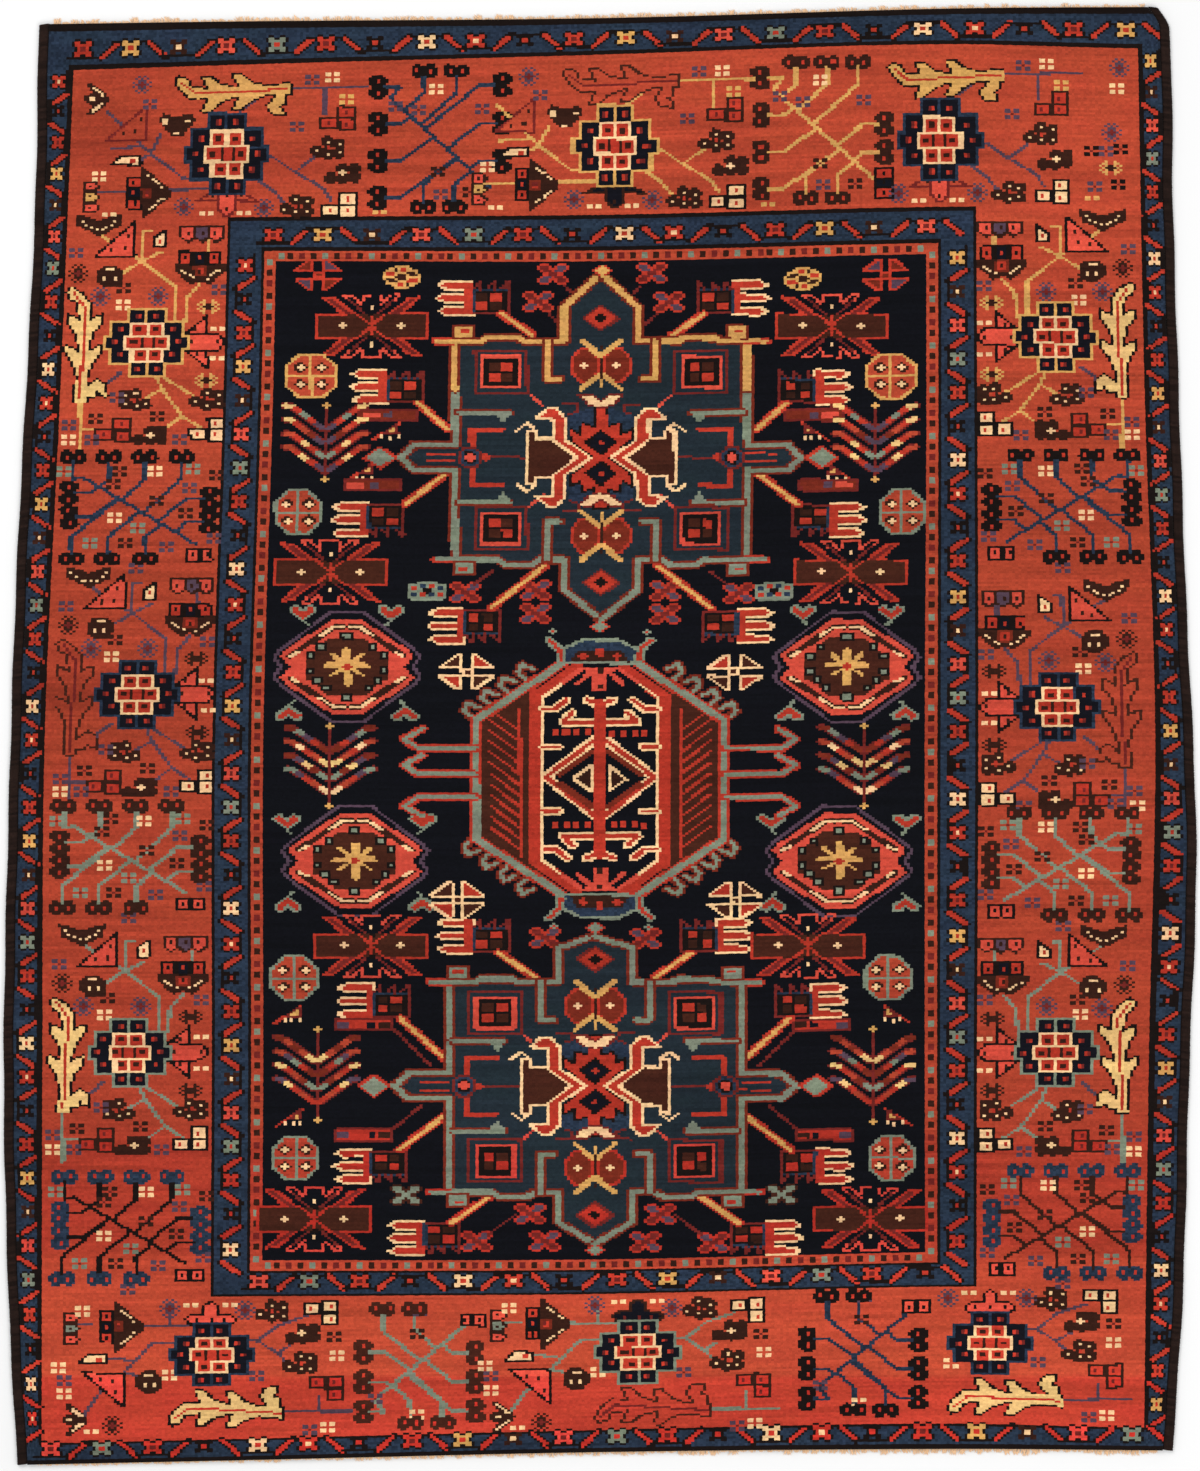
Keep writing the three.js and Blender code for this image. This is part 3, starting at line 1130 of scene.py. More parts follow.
def big_diamond(pen, upper_heart, lower_heart):
    """A large lobed diamond with a star in it, four little hearts round it at these places."""
    outline = [(-66, 0), (-73, -10), (-67, -17), (-16, -55), (-4, -55)]
    pen.fill(four_sided(outline), "midnight", "slate", 3.0)
    pen.fill(four_sided([(-57, 0), (-67, -11), (-60, -18), (-14, -48), (-4, -48)]), "salmon")
    for part in pen.quarters():
        part.line([(3, 40), (13, 40), (28, 30), (57, 11)], "brown", 6)
        part.line([(3, 40), (13, 40), (27, 31)], "cream", 3)
        part.line([(48, 15), (56, 11)], "cream", 3)
    pen.fill(four_sided([(-42, -12), (-31, -16), (-24, -24), (-18, -29)]), "umber")
    for end in pen.ends():
        end.box(0, 30, 10, 7, "sage", "black")
    for half in pen.halves():
        for u, v in ((26, -20), (37, -11), (37, 4), (30, 13), (21, 21)):
            half.box(u, v, 7, 6, "sage", "black")
        half.line([(5, -4), (15, -13)], "gold", 4.4)
        half.line([(5, 2), (16, 8)], "gold", 2.7)
        half.dot(22, -1, "gold")
    pen.line([(0, -16), (0, 16)], "gold", 7.4)
    pen.line([(-19, -2), (18, -2)], "gold", 5.6)
    pen.diamond(0, 0, 5, 4.4, "red")
    for (u, v), down in ((upper_heart, 1), (lower_heart, -1)):
        for side in (-1, 1):
            heart(pen.moved(side * u, v, -side, down))


def heart(pen):
    """A little heart whose point runs on into a thin stem."""
    pen.fill(mirrored([(0, -3), (6, -8), (12, -7), (13, -3), (0, 6)]), "red", "sage", THIN)
    pen.line([(0, 7), (5, 11)], "sage", THIN)


# Yarns of a feather's leaves from tip to stem, one row a leaf
PLUME = [
    ("straw", "red", "sage", "red", "slate"),
    ("straw", "red", "rust", "russet", "slate"),
    ("rust", "red", "straw", "red", "sage"),
    ("rust", "red", "straw", "red", "slate"),
]
DULL_PLUME = [
    ("russet", "sage", "slate", "red", "russet"),
    ("rust", "cream", "red", "rust", "straw"),
    ("russet", "slate", "straw", "russet", "sage"),
    ("sage", "slate", "red", "rust", "cream"),
]
TALL_PLUME = [
    ("russet", "rust", "russet", "rust", "straw"),
    ("rust", "slate", "sage", "red", "russet"),
    ("straw", "red", "rust", "russet", "sage"),
    ("slate", "straw", "red", "rust", "red"),
]
FIRST_LEAF = -14.5             # height at which the uppermost leaf meets the stem
LEAF_STEP = 13.8               # and from leaf to leaf


def feather_plant(pen, half, spread, plume):
    """A plant of chevron leaves, each leaf in lengths of several yarns."""
    pen.line([(0, -half), (0, half)], "wine", 2.7)
    for i, yarns in enumerate(plume):
        v = FIRST_LEAF + LEAF_STEP * i
        for side in (-1, 1):
            leaf_line = [(side * spread, v - 23), (side * (spread - 6), v - 22), (side * 3, v)]
            pen.line(leaf_line, "wine", 7.4)
            pen.line(leaf_line, yarns, 5.4)
    for v in (-half, half):
        pen.stamp(0, v, PLUS, {"a": "gold"})


def quartered(pen, edge, half_width):
    """A red eight-sided flower cut in four, a pale cross in each quarter."""
    pen.disc(0, 0, half_width, 22, "rust", edge, 2.7)
    pen.line([(0, -22), (0, 22)], edge, 2.7)
    pen.line([(-half_width, 0), (half_width, 0)], edge)
    for part in pen.quarters():
        part.diamond(11, 8.4, 7.4, 6, "brown")
        part.stamp(11, 8.4, PLUS, {"a": "cream"})


def wedge_cross(pen, half_u, half_v, line, fills):
    """Four quarter-rounds round a small box, edged in one yarn. The fills lie crosswise."""
    for part, yarn in zip(pen.quarters(), fills + fills[::-1]):
        part.fill([(5, 4), (5, half_v), (9, half_v), (half_u, 5), (half_u, 4)], yarn, line, 2.6)
    pen.box(0, 0, 9, 6, fills[0], line, 2.6)


def segment_bar(pen, ground, segments):
    """A narrow bar in lengths of several yarns. Segments: middle, width, yarn."""
    pen.box(0, 0, 56, 11, ground, "wine")
    for u, width, yarn in segments:
        pen.box(u, 0, width, 6, yarn)


def bird(pen):
    """A small bird facing +u."""
    pen.line([(-13, 9), (14, -8)], "red")
    pen.fill([(0, 2), (11, -7), (12, 2)], "gold", "wine", THIN)
    pen.dots([(-3, 6), (4, 7), (12, 6)], "cream", 1, 2)


def medallion(pen, top, top_point, bottom, bottom_point, upper="sage"):
    """A large gabled medallion, mirrored left and right. Arguments are heights from its middle."""
    waist = 12.5
    left = [
        (0, top_point), (-37, top - 34), (-37, top), (-78, top), (-82, top - 3), (-115, top - 3),
        (-119, top), (-146, top), (-146, -waist), (-187, -waist), (-200, 0), (-187, waist), (-146, waist),
        (-146, bottom), (-103, bottom), (-96, bottom + 5), (-68, bottom + 5), (-60, bottom),
        (-37, bottom), (-37, bottom + 30), (0, bottom_point),
    ]
    pen.fill(mirrored(left), "teal")
    for half in pen.halves():
        medallion_half(half, left, top, bottom, upper)
    medallion_middle(pen, top, bottom)


def medallion_half(pen, outline, top, bottom, upper):
    """The left half's frame, hooks and squares. `upper` is the yarn of the frame's upper part."""
    pen.edged(outline, "sage", 5.6, "russet")
    if upper != "sage":
        pen.edged(outline[:8] + [(-146, top + 48)], upper, 5.6, "russet")
    for v, out, yarn in ((top, -1, upper), (bottom, 1, "sage")):
        pen.line([(-146, v), (-165, v)], "red", 9)
        pen.line([(-140, v), (-164, v)], yarn, 5)
        pen.box(-137, v + out * 9, 21, 13, yarn, "russet", THINNEST)
        pen.box(-137, v + out * 10, 9, 3, "red")
        pen.edged([(-54, v), (-54, v - out * 38), (-42, v - out * 38)], yarn, 5.4, "russet")
        chequered_square(pen.moved(-100, v - out * 31, 1, -out))
    for end in pen.ends():
        end.edged([(-142, 45), (-92, 45)], "sage", 4.4, "russet")
        end.fill([(-107, 45), (-89, 45), (-98, 34)], "sage")
        end.line([(-129, 11), (-129, 28), (-99, 28)], "red", 5.2)
        end.line([(-175, 4), (-146, 4)], "red", THIN)
        end.line([(-38, 53), (-23, 53), (-22, 46), (-31, 43)], "wine")
    pen.line([(-119, 0), (-77, 0)], "wine")
    pen.diamond(-116, 0, 6, 4.6, "red")
    for radius, yarn, edge in ((11, "blue", "wine"), (7, "black", None), (5, "salmon", None)):
        pen.disc(-131, 0, radius, radius * 0.92, yarn, edge)
    pen.line([(-199, 0), (-214, 0)], "sage", 4)
    pen.diamond(-221, 0, 16, 11, "sage", "red", THIN)


def vase_and_bracket(pen):
    """On the left: a dark vase on its side, held by a red bracket whose point reaches the middle."""
    vase = [(-74, -27), (-65, -27), (-65, -19), (-48, -19), (-24, 0)]
    pen.fill(mirrored_down(vase), "umber", "cream", 2.7)
    for end in pen.ends():
        end.line([(-84, 27), (-74, 34), (-66, 28)], "cream", 2.6)
    outer = [(-65, -39), (-53, -49), (-45, -49), (-36, -40), (-35, -17), (-10, 0)]
    inner = [(-48, -38), (-48, -18), (-24, 0)]
    pen.fill(mirrored_down(outer) + mirrored_down(inner)[::-1], "red", "cream", 2.8)


def chequered_square(pen):
    """A chequered square in two frames, tied to the medallion's middle."""
    pen.line([(26, 20), (42, 34)], "salmon")
    pen.box(0, 0, 52, 42, "teal", "wine", 2.7)
    pen.box(0, 0, 38, 31, "black", "salmon", 3.0)
    for part, yarn in zip(pen.quarters(), ("umber", "red", "red", "umber")):
        part.box(6.5, 5, 11, 8.4, yarn)


def medallion_middle(pen, top, bottom):
    """The red figure on the axis with its two diamonds, and the butterflies above and below it."""
    for part in pen.quarters():
        part.fill([(8, 28), (34, 28), (33, 41), (20, 46), (8, 50)], "blue")
    figure = [(-9, 0), (-31, -18), (-31, -29), (-21, -23), (-19, -35), (-7, -31), (-7, -51)]
    pen.fill(four_sided(figure), "red", "black", THINNEST)
    for v in (-15, 16):
        pen.diamond(0, v, 15, 12, "navy", "black", THINNEST)
        pen.diamond(0, v, 4, 3, "red")
    for half in pen.halves():
        vase_and_bracket(half)
    for out, level in ((-1, top), (1, bottom)):
        butterfly(pen.moved(0, level - out * 24, 1, out))
        pen.diamond(0, level + out * 23, 18, 12.5, "red", "wine")
        pen.diamond(0, level + out * 23, 7, 5, "black")


def butterfly(pen):
    """Two russet wings tied by gold lines, a pale crescent towards the middle. Its +v points outwards."""
    for half in pen.halves():
        half.fill(mirrored_down([(2, -5), (10, -17), (20, -17), (29, -7)]), "russet", "red")
        half.stamp(16, 0, PLUS, {"a": "cream"})
        half.line([(19, 24), (0, 9)], "gold", 5.6)
        half.line([(20, -24), (0, -9)], "gold", 5.0)
    pen.dot(0, 17, "brown", 1, 2)
    pen.line([(0, -9), (0, -22)], "gold", 3.0)
    pen.line([(0, 6), (0, -12)], "brown")
    pen.fill(mirrored([(0, -36), (10, -29), (22, -30), (12, -40), (0, -43)]), "cream", "wine", THINNEST)


# The hook that stands along the slanting sides of the six-sided medallion, the first one's place, the step
HOOK = [(0, 0), (-10, -9), (-6, -17), (5, -12)]
HOOKS = 4
FIRST_HOOK = (-126, -59)
HOOK_STEP = (18, -13)


def lattice_medallion(pen):
    """The six-sided medallion in the middle, hooked outside."""
    pen.fill(four_sided([(-124, -59), (-37, -116)]), "midnight")
    for half in pen.halves():
        lattice_half(half)
    for out in (-1, 1):
        cap(pen.moved(0, out * 121, 1, -out))
        lily(pen.moved(0, out * 112, 1, -out))
    branching_post(pen)


def lattice_half(pen):
    """The left half's frame, striped panel, band and hooks."""
    pen.fill([(-58, -100), (-119, -60), (-119, 60), (-58, 100)], "umber")
    for k in range(12):
        v = -66 + 10.7 * k
        pen.line([(-110, v - 4), (-81, v + 18)], "red")
    pen.line([(-80, -70), (-80, 78)], "red", 2.7)
    pen.fill(mirrored_down([(-18, -108), (-57, -80), (-57, 0)])
             + mirrored_down([(-18, -122), (-70, -86), (-70, 0)])[::-1], "red")
    pen.line([(-21, -108), (-57, -82), (-57, 82), (-21, 108)], "cream", 2.8)
    for end in pen.ends():
        for k in range(HOOKS):
            u, v = FIRST_HOOK[0] + HOOK_STEP[0] * k, FIRST_HOOK[1] + HOOK_STEP[1] * k
            end.edged([(u + a, v + b) for a, b in HOOK], "sage", 3.6, "russet")
    pen.edged([(-37, -116), (-124, -59), (-124, 60), (-37, 116)], "sage", 6.6)
    # arms that stand out at the side, each ending in a zigzag
    for v, turn in ((-31, -1), (-5, -1), (18, 1)):
        pen.edged([(-125, v), (-182, v), (-196, v + 9 * turn), (-178, v + 19 * turn)], "sage", 4.4)
    # branches standing in from the band
    for end in pen.ends():
        end.edged([(-56, 70), (-45, 70), (-33, 79)], "red", 4, "cream")
        end.edged([(-56, 32), (-42, 32)], "red", 4, "cream")


def cap(pen):
    """The roof-like piece over each end of the six-sided medallion."""
    pen.fill(mirrored([(0, -18), (18, -18), (38, -8), (38, 5), (0, 5)]), "blue", "sage", 3.2)
    pen.fill([(-30, 4), (-22, -8), (22, -8), (30, 4)], "brown")
    pen.box(0, -5, 7, 9, "red")
    for half in pen.halves():
        half.diamond(17, -2, 5, 4.4, "red")
        half.edged([(39, 2), (40, -8), (51, -18)], "red", 3.4, "sage")
        half.stamp(47, -26, EYE, {"a": "sage", "b": "red"})


def lily(pen):
    """A red lily hanging under the cap."""
    pen.fill(mirrored([(0, 0), (22, 0), (7, 8), (7, 24), (0, 24)]), "salmon")
    for half in pen.halves():
        half.line([(10, 6), (23, 17)], "salmon", 4.4)
        half.line([(20, 3), (37, 15)], "salmon", 4.4)
    for v in (4, 20):
        pen.box(0, v, 6, 5, "brown")


def branching_post(pen):
    """A red post edged in cream, branching up, down and into a diamond."""
    for width, yarn in ((9.6, "cream"), (4.8, "red")):
        for half in pen.halves():
            half.line([(6, -39), (54, -2), (6, 36)], yarn, width)
        for part in pen.quarters():
            part.line([(0, 74), (13, 79)], yarn, width)
            part.line([(0, 57), (37, 57), (28, 66)], yarn, width)
    pen.line([(0, -76), (0, 76)], "red", 10)
    for part in pen.quarters():
        part.line([(9, 27), (40, 5)], "russet", 6.4)
        part.dots([(13 + 10.5 * k, 46) for k in range(4)], "red", 2, 3)
    for half in pen.halves():
        half.fill([(9, -13), (27, 0), (9, 12)], "brown", "cream", 2.6)


# The field's upright axis drifts a little: height, x. Motifs further out stand round a line of their own
AXIS = [(260, 603), (780, 600), (930, 595), (1250, 595)]
OUTER_AXIS = [
    (260, 602), (512, 600), (572, 590), (667, 597), (861, 597), (946, 590), (1075, 595), (1250, 592),
]
OUTER_FROM = 200

# Field motifs, woven on both sides of the axis: distance from it and height
FILLERS = {
    "octagon": [(284, 275)],
    "gold_rosette": [(201, 278)],
    "loops": [
        (50, 275), (66, 303), (137, 594), (65, 592), (65, 615),
        (51, 939), (64, 1215), (118, 1243), (50, 1243),
    ],
    "comb": [(240, 520), (146, 626), (232, 1166), (180, 1238)],
    "comb_down": [(139, 298), (223, 387), (131, 936), (228, 1001)],
    "upper_diamond": [(250, 667)],
    "lower_diamond": [(242, 861)],
    "cross_flower": [(230, 326), (260, 572), (218, 946), (278, 1219)],
    "quartered_gold": [(290, 376)],
    "quartered": [(302, 512), (297, 978), (298, 1158)],
    "bird": [(215, 431), (241, 472), (305, 1014), (305, 1117)],
    "light_bar": [(213, 415), (228, 485)],
    "bar": [(229, 1025), (230, 1135)],
    "feather": [(275, 443)],
    "feather_dull": [(267, 765)],
    "feather_tall": [(278, 1075)],
    "mosaic": [(173, 591)],
    "round_cross": [(134, 672), (139, 900)],
    "small_flower": [(188, 1196)],
}

# What draws each of them, and with what after its pen
FILLER_MAKERS = {
    "octagon": (wedge_cross, 22, 14.5, "red", ("russet", "slate")),
    "round_cross": (wedge_cross, 26, 17, "cream", ("umber", "red")),
    "cross_flower": (cross_flower,),
    "comb": (comb,),
    "comb_down": (comb, -1),
    "quartered": (quartered, "sage", 22.5),
    "quartered_gold": (quartered, "gold", 25.5),
    "bird": (bird,),
    "bar": (segment_bar, "red", [(-20, 12, "slate"), (8, 8, "navy"), (21, 11, "brown")]),
    "light_bar": (segment_bar, "russet", [(-17, 17, "salmon"), (1, 9, "slate")]),
    "feather": (feather_plant, 37, 40, PLUME),
    "feather_dull": (feather_plant, 40, 43, DULL_PLUME),
    "feather_tall": (feather_plant, 46, 40, TALL_PLUME),
    "upper_diamond": (big_diamond, (44, -53), (58, 45)),
    "lower_diamond": (big_diamond, (68, -38), (67, 42)),
    "mosaic": (Pen.stamp, 0, 0, MOSAIC, {"d": "sage", "b": "blue", "c": "red", "k": "black"}),
    "gold_rosette": (Pen.stamp, 0, 0, GOLD_ROSETTE, {"g": "gold", "k": "brown", "r": "red"}),
    "small_flower": (Pen.stamp, 0, 0, LOOPS, {"a": "umber", "b": "sage", "c": "sage"}),
    "loops": (Pen.stamp, 0, 0, LOOPS, {"a": "red", "b": "wine", "c": "slate"}),
}

# Stems that tie the combs to the medallions: distance from the axis and height at both ends
GOLD_TIES = [
    ((101, 314), (70, 335)), ((184, 403), (155, 429)), ((196, 504), (154, 472)),
    ((110, 608), (57, 566)), ((96, 953), (59, 978)), ((195, 1018), (151, 1058)),
    ((196, 1150), (151, 1116)), ((144, 1223), (103, 1195)),
]
WINE_TIES = [
    ((38, 286), (25, 299)), ((54, 314), (39, 327)), ((126, 584), (108, 571)),
    ((200, 1030), (164, 1066)), ((203, 1130), (174, 1106)), ((107, 1235), (79, 1214)),
]

# Tassels on the axis: height, yarn
TASSELS = [(270, "gold"), (627, "sage"), (928, "sage"), (1251, "sage")]


def axis_at(y, away=0):
    """Where the axis is at a height, for a motif this far from it."""
    heights, places = zip(*(AXIS if away < OUTER_FROM else OUTER_AXIS))
    return float(np.interp(y, heights, places))


def lay_field():
    page = Pen(0, 0)
    for side in (-1, 1):
        for kind, places in FILLERS.items():
            draw, *values = FILLER_MAKERS[kind]
            for away, y in places:
                draw(Pen(axis_at(y, away) + side * away, y, -side), *values)
        for ends in GOLD_TIES:
            page.edged([(axis_at(y) + side * away, y) for away, y in ends], "gold", 4.0)
        for ends in WINE_TIES:
            page.line([(axis_at(y) + side * away, y) for away, y in ends], "wine", 2.8)
    medallion(Pen(601, 457.5), top=-116.5, top_point=-184, bottom=102, bottom_point=162, upper="gold")
    lattice_medallion(Pen(600, 779))
    medallion(Pen(595, 1086), top=-104, top_point=-150, bottom=106, bottom_point=158)
    for y, yarn in TASSELS:
        Pen(axis_at(y), y).stamp(0, 0, TASSEL, {"a": yarn, "b": "red"})


def weave():
    lay_bands()
    lay_guards()
    lay_dots()
    lay_border()
    lay_field()


weave()
# End of the chart


# Colours of the knots

def to_linear(srgb):
    srgb = np.asarray(srgb, float) / 255
    return np.where(srgb <= 0.04045, srgb / 12.92, ((srgb + 0.055) / 1.055) ** 2.4)


def patchy(rows_per_patch, cols_per_patch, seed):
    """Smooth random unevenness over the chart, from -1 to 1, in patches of about this many knots."""
    draw = np.random.default_rng(seed)
    tall = int(ROWS / rows_per_patch) + 3
    wide = int(COLS / cols_per_patch) + 3
    grid = draw.uniform(-1, 1, (tall, wide))
    r = np.arange(ROWS) / rows_per_patch
    c = np.arange(COLS) / cols_per_patch
    r0, c0 = r.astype(int), c.astype(int)
    fr, fc = r - r0, c - c0
    fr, fc = fr * fr * (3 - 2 * fr), fc * fc * (3 - 2 * fc)
    upper = grid[r0][:, c0] * (1 - fc) + grid[r0][:, c0 + 1] * fc
    lower = grid[r0 + 1][:, c0] * (1 - fc) + grid[r0 + 1][:, c0 + 1] * fc
    return upper * (1 - fr[:, None]) + lower * fr[:, None]


# The dye down the rug: place on the cartoon, brightness, redness
DYE_LOTS = np.array([
    (0, 0.97, 0.00),
    (420, 1.00, 0.00),
    (480, 0.85, 0.00),
    (1120, 0.86, 0.02),
    (1150, 0.87, 0.09),
    (1240, 0.88, 0.09),
    (1265, 1.08, 0.02),
    (1374, 1.14, 0.00),
    (1379, 1.14, 0.12),
    (1471, 1.14, 0.12),
], float)
DYED = [YARN_NUMBER[name] for name in ("rust", "red", "salmon")]   # the yarns that show it
LESS_GREEN = 2.4               # how much green and blue a yarn loses for its redness
LESS_BLUE = 1.2

# Painted shadows, such as the shade of a fold at the left side: darker patches on the cartoon, each with
# place, half width and half height
SHADOWS = [(100, 130, 60, 50), (60, 696, 60, 14)]
SHADOW_DEPTH = 0.28

# Streaks and blotches of the yarn: depth, how many knots tall and wide, seed
STREAKS = [(0.15, 3, 40, 1), (0.12, 1, 18, 2), (0.08, 30, 60, 3)]
TINT = (0.05, 5, 9, 4)         # the same for its green alone
SPECKLE = 0.13                 # how far knot differs from knot
BLUE_SPECKLE = 0.32


def knot_colours():
    """Linear colours of all knots, with the unevenness of dye, spin and wear, and painted shadows of folds.
    """
    colour = to_linear(list(YARNS.values()))[chart]
    draw = np.random.default_rng(7)
    brightness = np.interp(knot_y, DYE_LOTS[:, 0], DYE_LOTS[:, 1])
    redness = np.interp(knot_y, DYE_LOTS[:, 0], DYE_LOTS[:, 2])
    # Painted shade: each patch in SHADOWS darkens the dyed yarns round it
    for x, y, half_width, half_height in SHADOWS:
        away = ((knot_x - x) / half_width) ** 2 + ((knot_y - y) / half_height) ** 2
        brightness = brightness * (1 - SHADOW_DEPTH * np.exp(-away))
    dyed = np.isin(chart, DYED)
    speckle = np.where(chart == YARN_NUMBER["blue"], BLUE_SPECKLE, SPECKLE)
    shade = np.where(dyed, brightness, 1.0)
    shade = shade * sum((depth * patchy(*patch) for depth, *patch in STREAKS), 1)
    shade = shade * (1 + speckle * draw.uniform(-1, 1, chart.shape))
    colour = colour * shade[..., None]
    depth, *patch = TINT
    colour[..., 1] *= 1 - np.where(dyed, redness * LESS_GREEN, 0) + depth * patchy(*patch)
    colour[..., 2] *= 1 - np.where(dyed, redness * LESS_BLUE, 0)
    return np.clip(colour, 0.002, 1)


# Shapes

PILE_HEIGHT = 0.0081           # metres, top of the pile above the floor
BACK_HEIGHT = 0.0003           # metres, the foundation's underside
EDGE_TOP = 6.9                 # mm, height of the pile along its outline
EDGE_SIDE = 4.4                # mm, height halfway down the pile's side
EDGE_DROP = 0.3                # mm, how much lower the knots next to both ends are
WORN = 0.55                    # mm, how much lower the brown and black wools have worn
WAVING = 0.25                  # mm, how far the surface rises and falls in broad waves
RUFFLE = (0.42, 0.36, 0.22)    # mm, how far knots stray across, along and up
STRIPS = 4                     # the pile is made in this many strips side by side
WORN_YARNS = [YARN_NUMBER[name] for name in ("brown", "umber", "black")]


def make_mesh(name, points, faces, face_colours=None, uv=None):
    """A mesh object from arrays: points (n, 3), faces (m, 4), linear colours (m, 3), uv (m, 4, 2)."""
    mesh = bpy.data.meshes.new(name)
    mesh.vertices.add(len(points))
    mesh.vertices.foreach_set("co", np.asarray(points, np.float32).ravel())
    mesh.loops.add(faces.size)
    mesh.loops.foreach_set("vertex_index", faces.astype(np.int32).ravel())
    mesh.polygons.add(len(faces))
    mesh.polygons.foreach_set("loop_start", np.arange(len(faces), dtype=np.int32) * faces.shape[1])
    mesh.polygons.foreach_set("use_smooth", np.ones(len(faces), bool))
    mesh.update(calc_edges=True)
    mesh.validate()
    if face_colours is not None:
        attribute = mesh.attributes.new("yarn", "FLOAT_COLOR", "FACE")
        rgba = np.ones((len(faces), 4), np.float32)
        rgba[:, :3] = face_colours
        attribute.data.foreach_set("color", rgba.ravel())
    if uv is not None:
        layer = mesh.uv_layers.new(name="OFBake")
        layer.uv.foreach_set("vector", np.asarray(uv, np.float32).ravel())
    piece = bpy.data.objects.new(name, mesh)
    bpy.context.collection.objects.link(piece)
    return piece


def grid_faces(tall, wide):
    """Quads of a grid of points, tall by wide of them, facing up when rows run down and columns right."""
    number = np.arange(tall * wide).reshape(tall, wide)
    return np.stack([number[1:, :-1], number[1:, 1:], number[:-1, 1:], number[:-1, :-1]], -1).reshape(-1, 4)


def pile_surface():
    """Points of the whole pile, ROWS + 5 by COLS + 5: two rings of edge points round the knots' corners."""
    draw = np.random.default_rng(11)
    cols, rows = np.meshgrid(np.arange(COLS + 1, dtype=float), np.arange(ROWS + 1, dtype=float))
    x, y = loom(cols, rows)
    worn = np.pad(np.isin(chart, WORN_YARNS).astype(float), 1, mode="edge")
    around = (worn[:-1, :-1] + worn[1:, :-1] + worn[:-1, 1:] + worn[1:, 1:]) / 4
    waves = WAVING * np.sin(x / 61 + 2 * np.sin(y / 210)) * np.sin(y / 83 + 1.3 * np.sin(x / 160))
    z = PILE_HEIGHT * 1000 - WORN * around + waves
    z = z + RUFFLE[2] * draw.uniform(-1, 1, z.shape)
    inner = (slice(1, -1), slice(1, -1))
    x[inner] += RUFFLE[0] * draw.uniform(-1, 1, x[inner].shape)
    y[inner] += RUFFLE[1] * draw.uniform(-1, 1, y[inner].shape)
    z[[0, -1]] = EDGE_TOP
    z[:, [0, -1]] = EDGE_TOP
    z[[1, -2], 1:-1] -= EDGE_DROP
    x, y = np.pad(x, 2, mode="edge"), np.pad(y, 2, mode="edge")
    z = np.pad(np.pad(z, 1, constant_values=EDGE_SIDE), 1, constant_values=BACK_HEIGHT * 1000)
    return np.stack([x, y, z], -1) / 1000


def strip_uv(tall, wide, margin=0.01):
    """The bake layout of one strip: its upper and lower halves side by side."""
    half = tall // 2
    rows, cols = np.meshgrid(np.arange(tall), np.arange(wide), indexing="ij")
    lower = rows >= half
    span = np.where(lower, tall - half, half)
    start = np.where(lower, half, 0)
    uv = np.empty((tall, wide, 4, 2))
    for corner, (dr, dc) in enumerate(((1, 0), (1, 1), (0, 1), (0, 0))):
        across_share = (cols + dc) / wide
        down_share = (rows + dr - start) / span
        uv[:, :, corner, 0] = np.where(lower, 0.5, 0) + margin + across_share * (0.5 - 2 * margin)
        uv[:, :, corner, 1] = 1 - margin - down_share * (1 - 2 * margin)
    return uv.reshape(-1, 4, 2)


def make_pile(colours):
    """The knotted pile in strips, one face a knot, its outer faces turning down to the floor."""
    points = pile_surface()
    faces_colour = np.pad(colours, ((2, 2), (2, 2), (0, 0)), mode="edge")
    cuts = np.linspace(0, COLS, STRIPS + 1).astype(int) + 2
    cuts[0] = 0
    cuts[-1] = COLS + 4
    strips = []
    for i, (start, end) in enumerate(zip(cuts, cuts[1:])):
        block = points[:, start:end + 1]
        tall, wide = block.shape[:2]
        strip = make_mesh(
            f"pile_{i + 1}",
            block.reshape(-1, 3),
            grid_faces(tall, wide),
            faces_colour[:, start:end].reshape(-1, 3),
            strip_uv(tall - 1, wide - 1),
        )
        strips.append(strip)
    return strips


def patches(most=16):
    """Blocks of one yarn that cover the chart: row, col, height, width."""
    free = np.ones(chart.shape, bool)
    for row in range(ROWS):
        for col in range(COLS):
            if not free[row, col]:
                continue
            block = (slice(row, row + most), slice(col, col + most))
            same = (chart[block] == chart[row, col]) & free[block]
            width = same.shape[1] if same[0].all() else int(np.argmin(same[0]))
            full = same[:, :width].all(axis=1)
            height = len(full) if full.all() else int(np.argmin(full))
            free[row:row + height, col:col + width] = False
            yield row, col, height, width


def make_back(colours):
    """The underside, where the same knots show flat and a little paler."""
    row, col, height, width = np.array(list(patches())).T
    corners = []
    for c, r in ((col, row), (col + width, row), (col + width, row + height), (col, row + height)):
        x, y = loom(c.astype(float), r.astype(float))
        corners.append(np.stack([x, y, np.full(len(x), BACK_HEIGHT * 1000)], -1) / 1000)
    points = np.stack(corners, 1).reshape(-1, 3)
    faces = np.arange(len(points)).reshape(-1, 4)
    middle = colours[row + height // 2, col + width // 2]
    return make_mesh("rug_back", points, faces, middle * 0.8 + 0.03)


def tube_faces(length, sides):
    """Quads of a tube made of so many rings of points."""
    number = np.arange(length * sides).reshape(length, sides)
    after = np.roll(number, -1, axis=1)
    return np.stack([number[:-1], after[:-1], after[1:], number[1:]], -1).reshape(-1, 4)


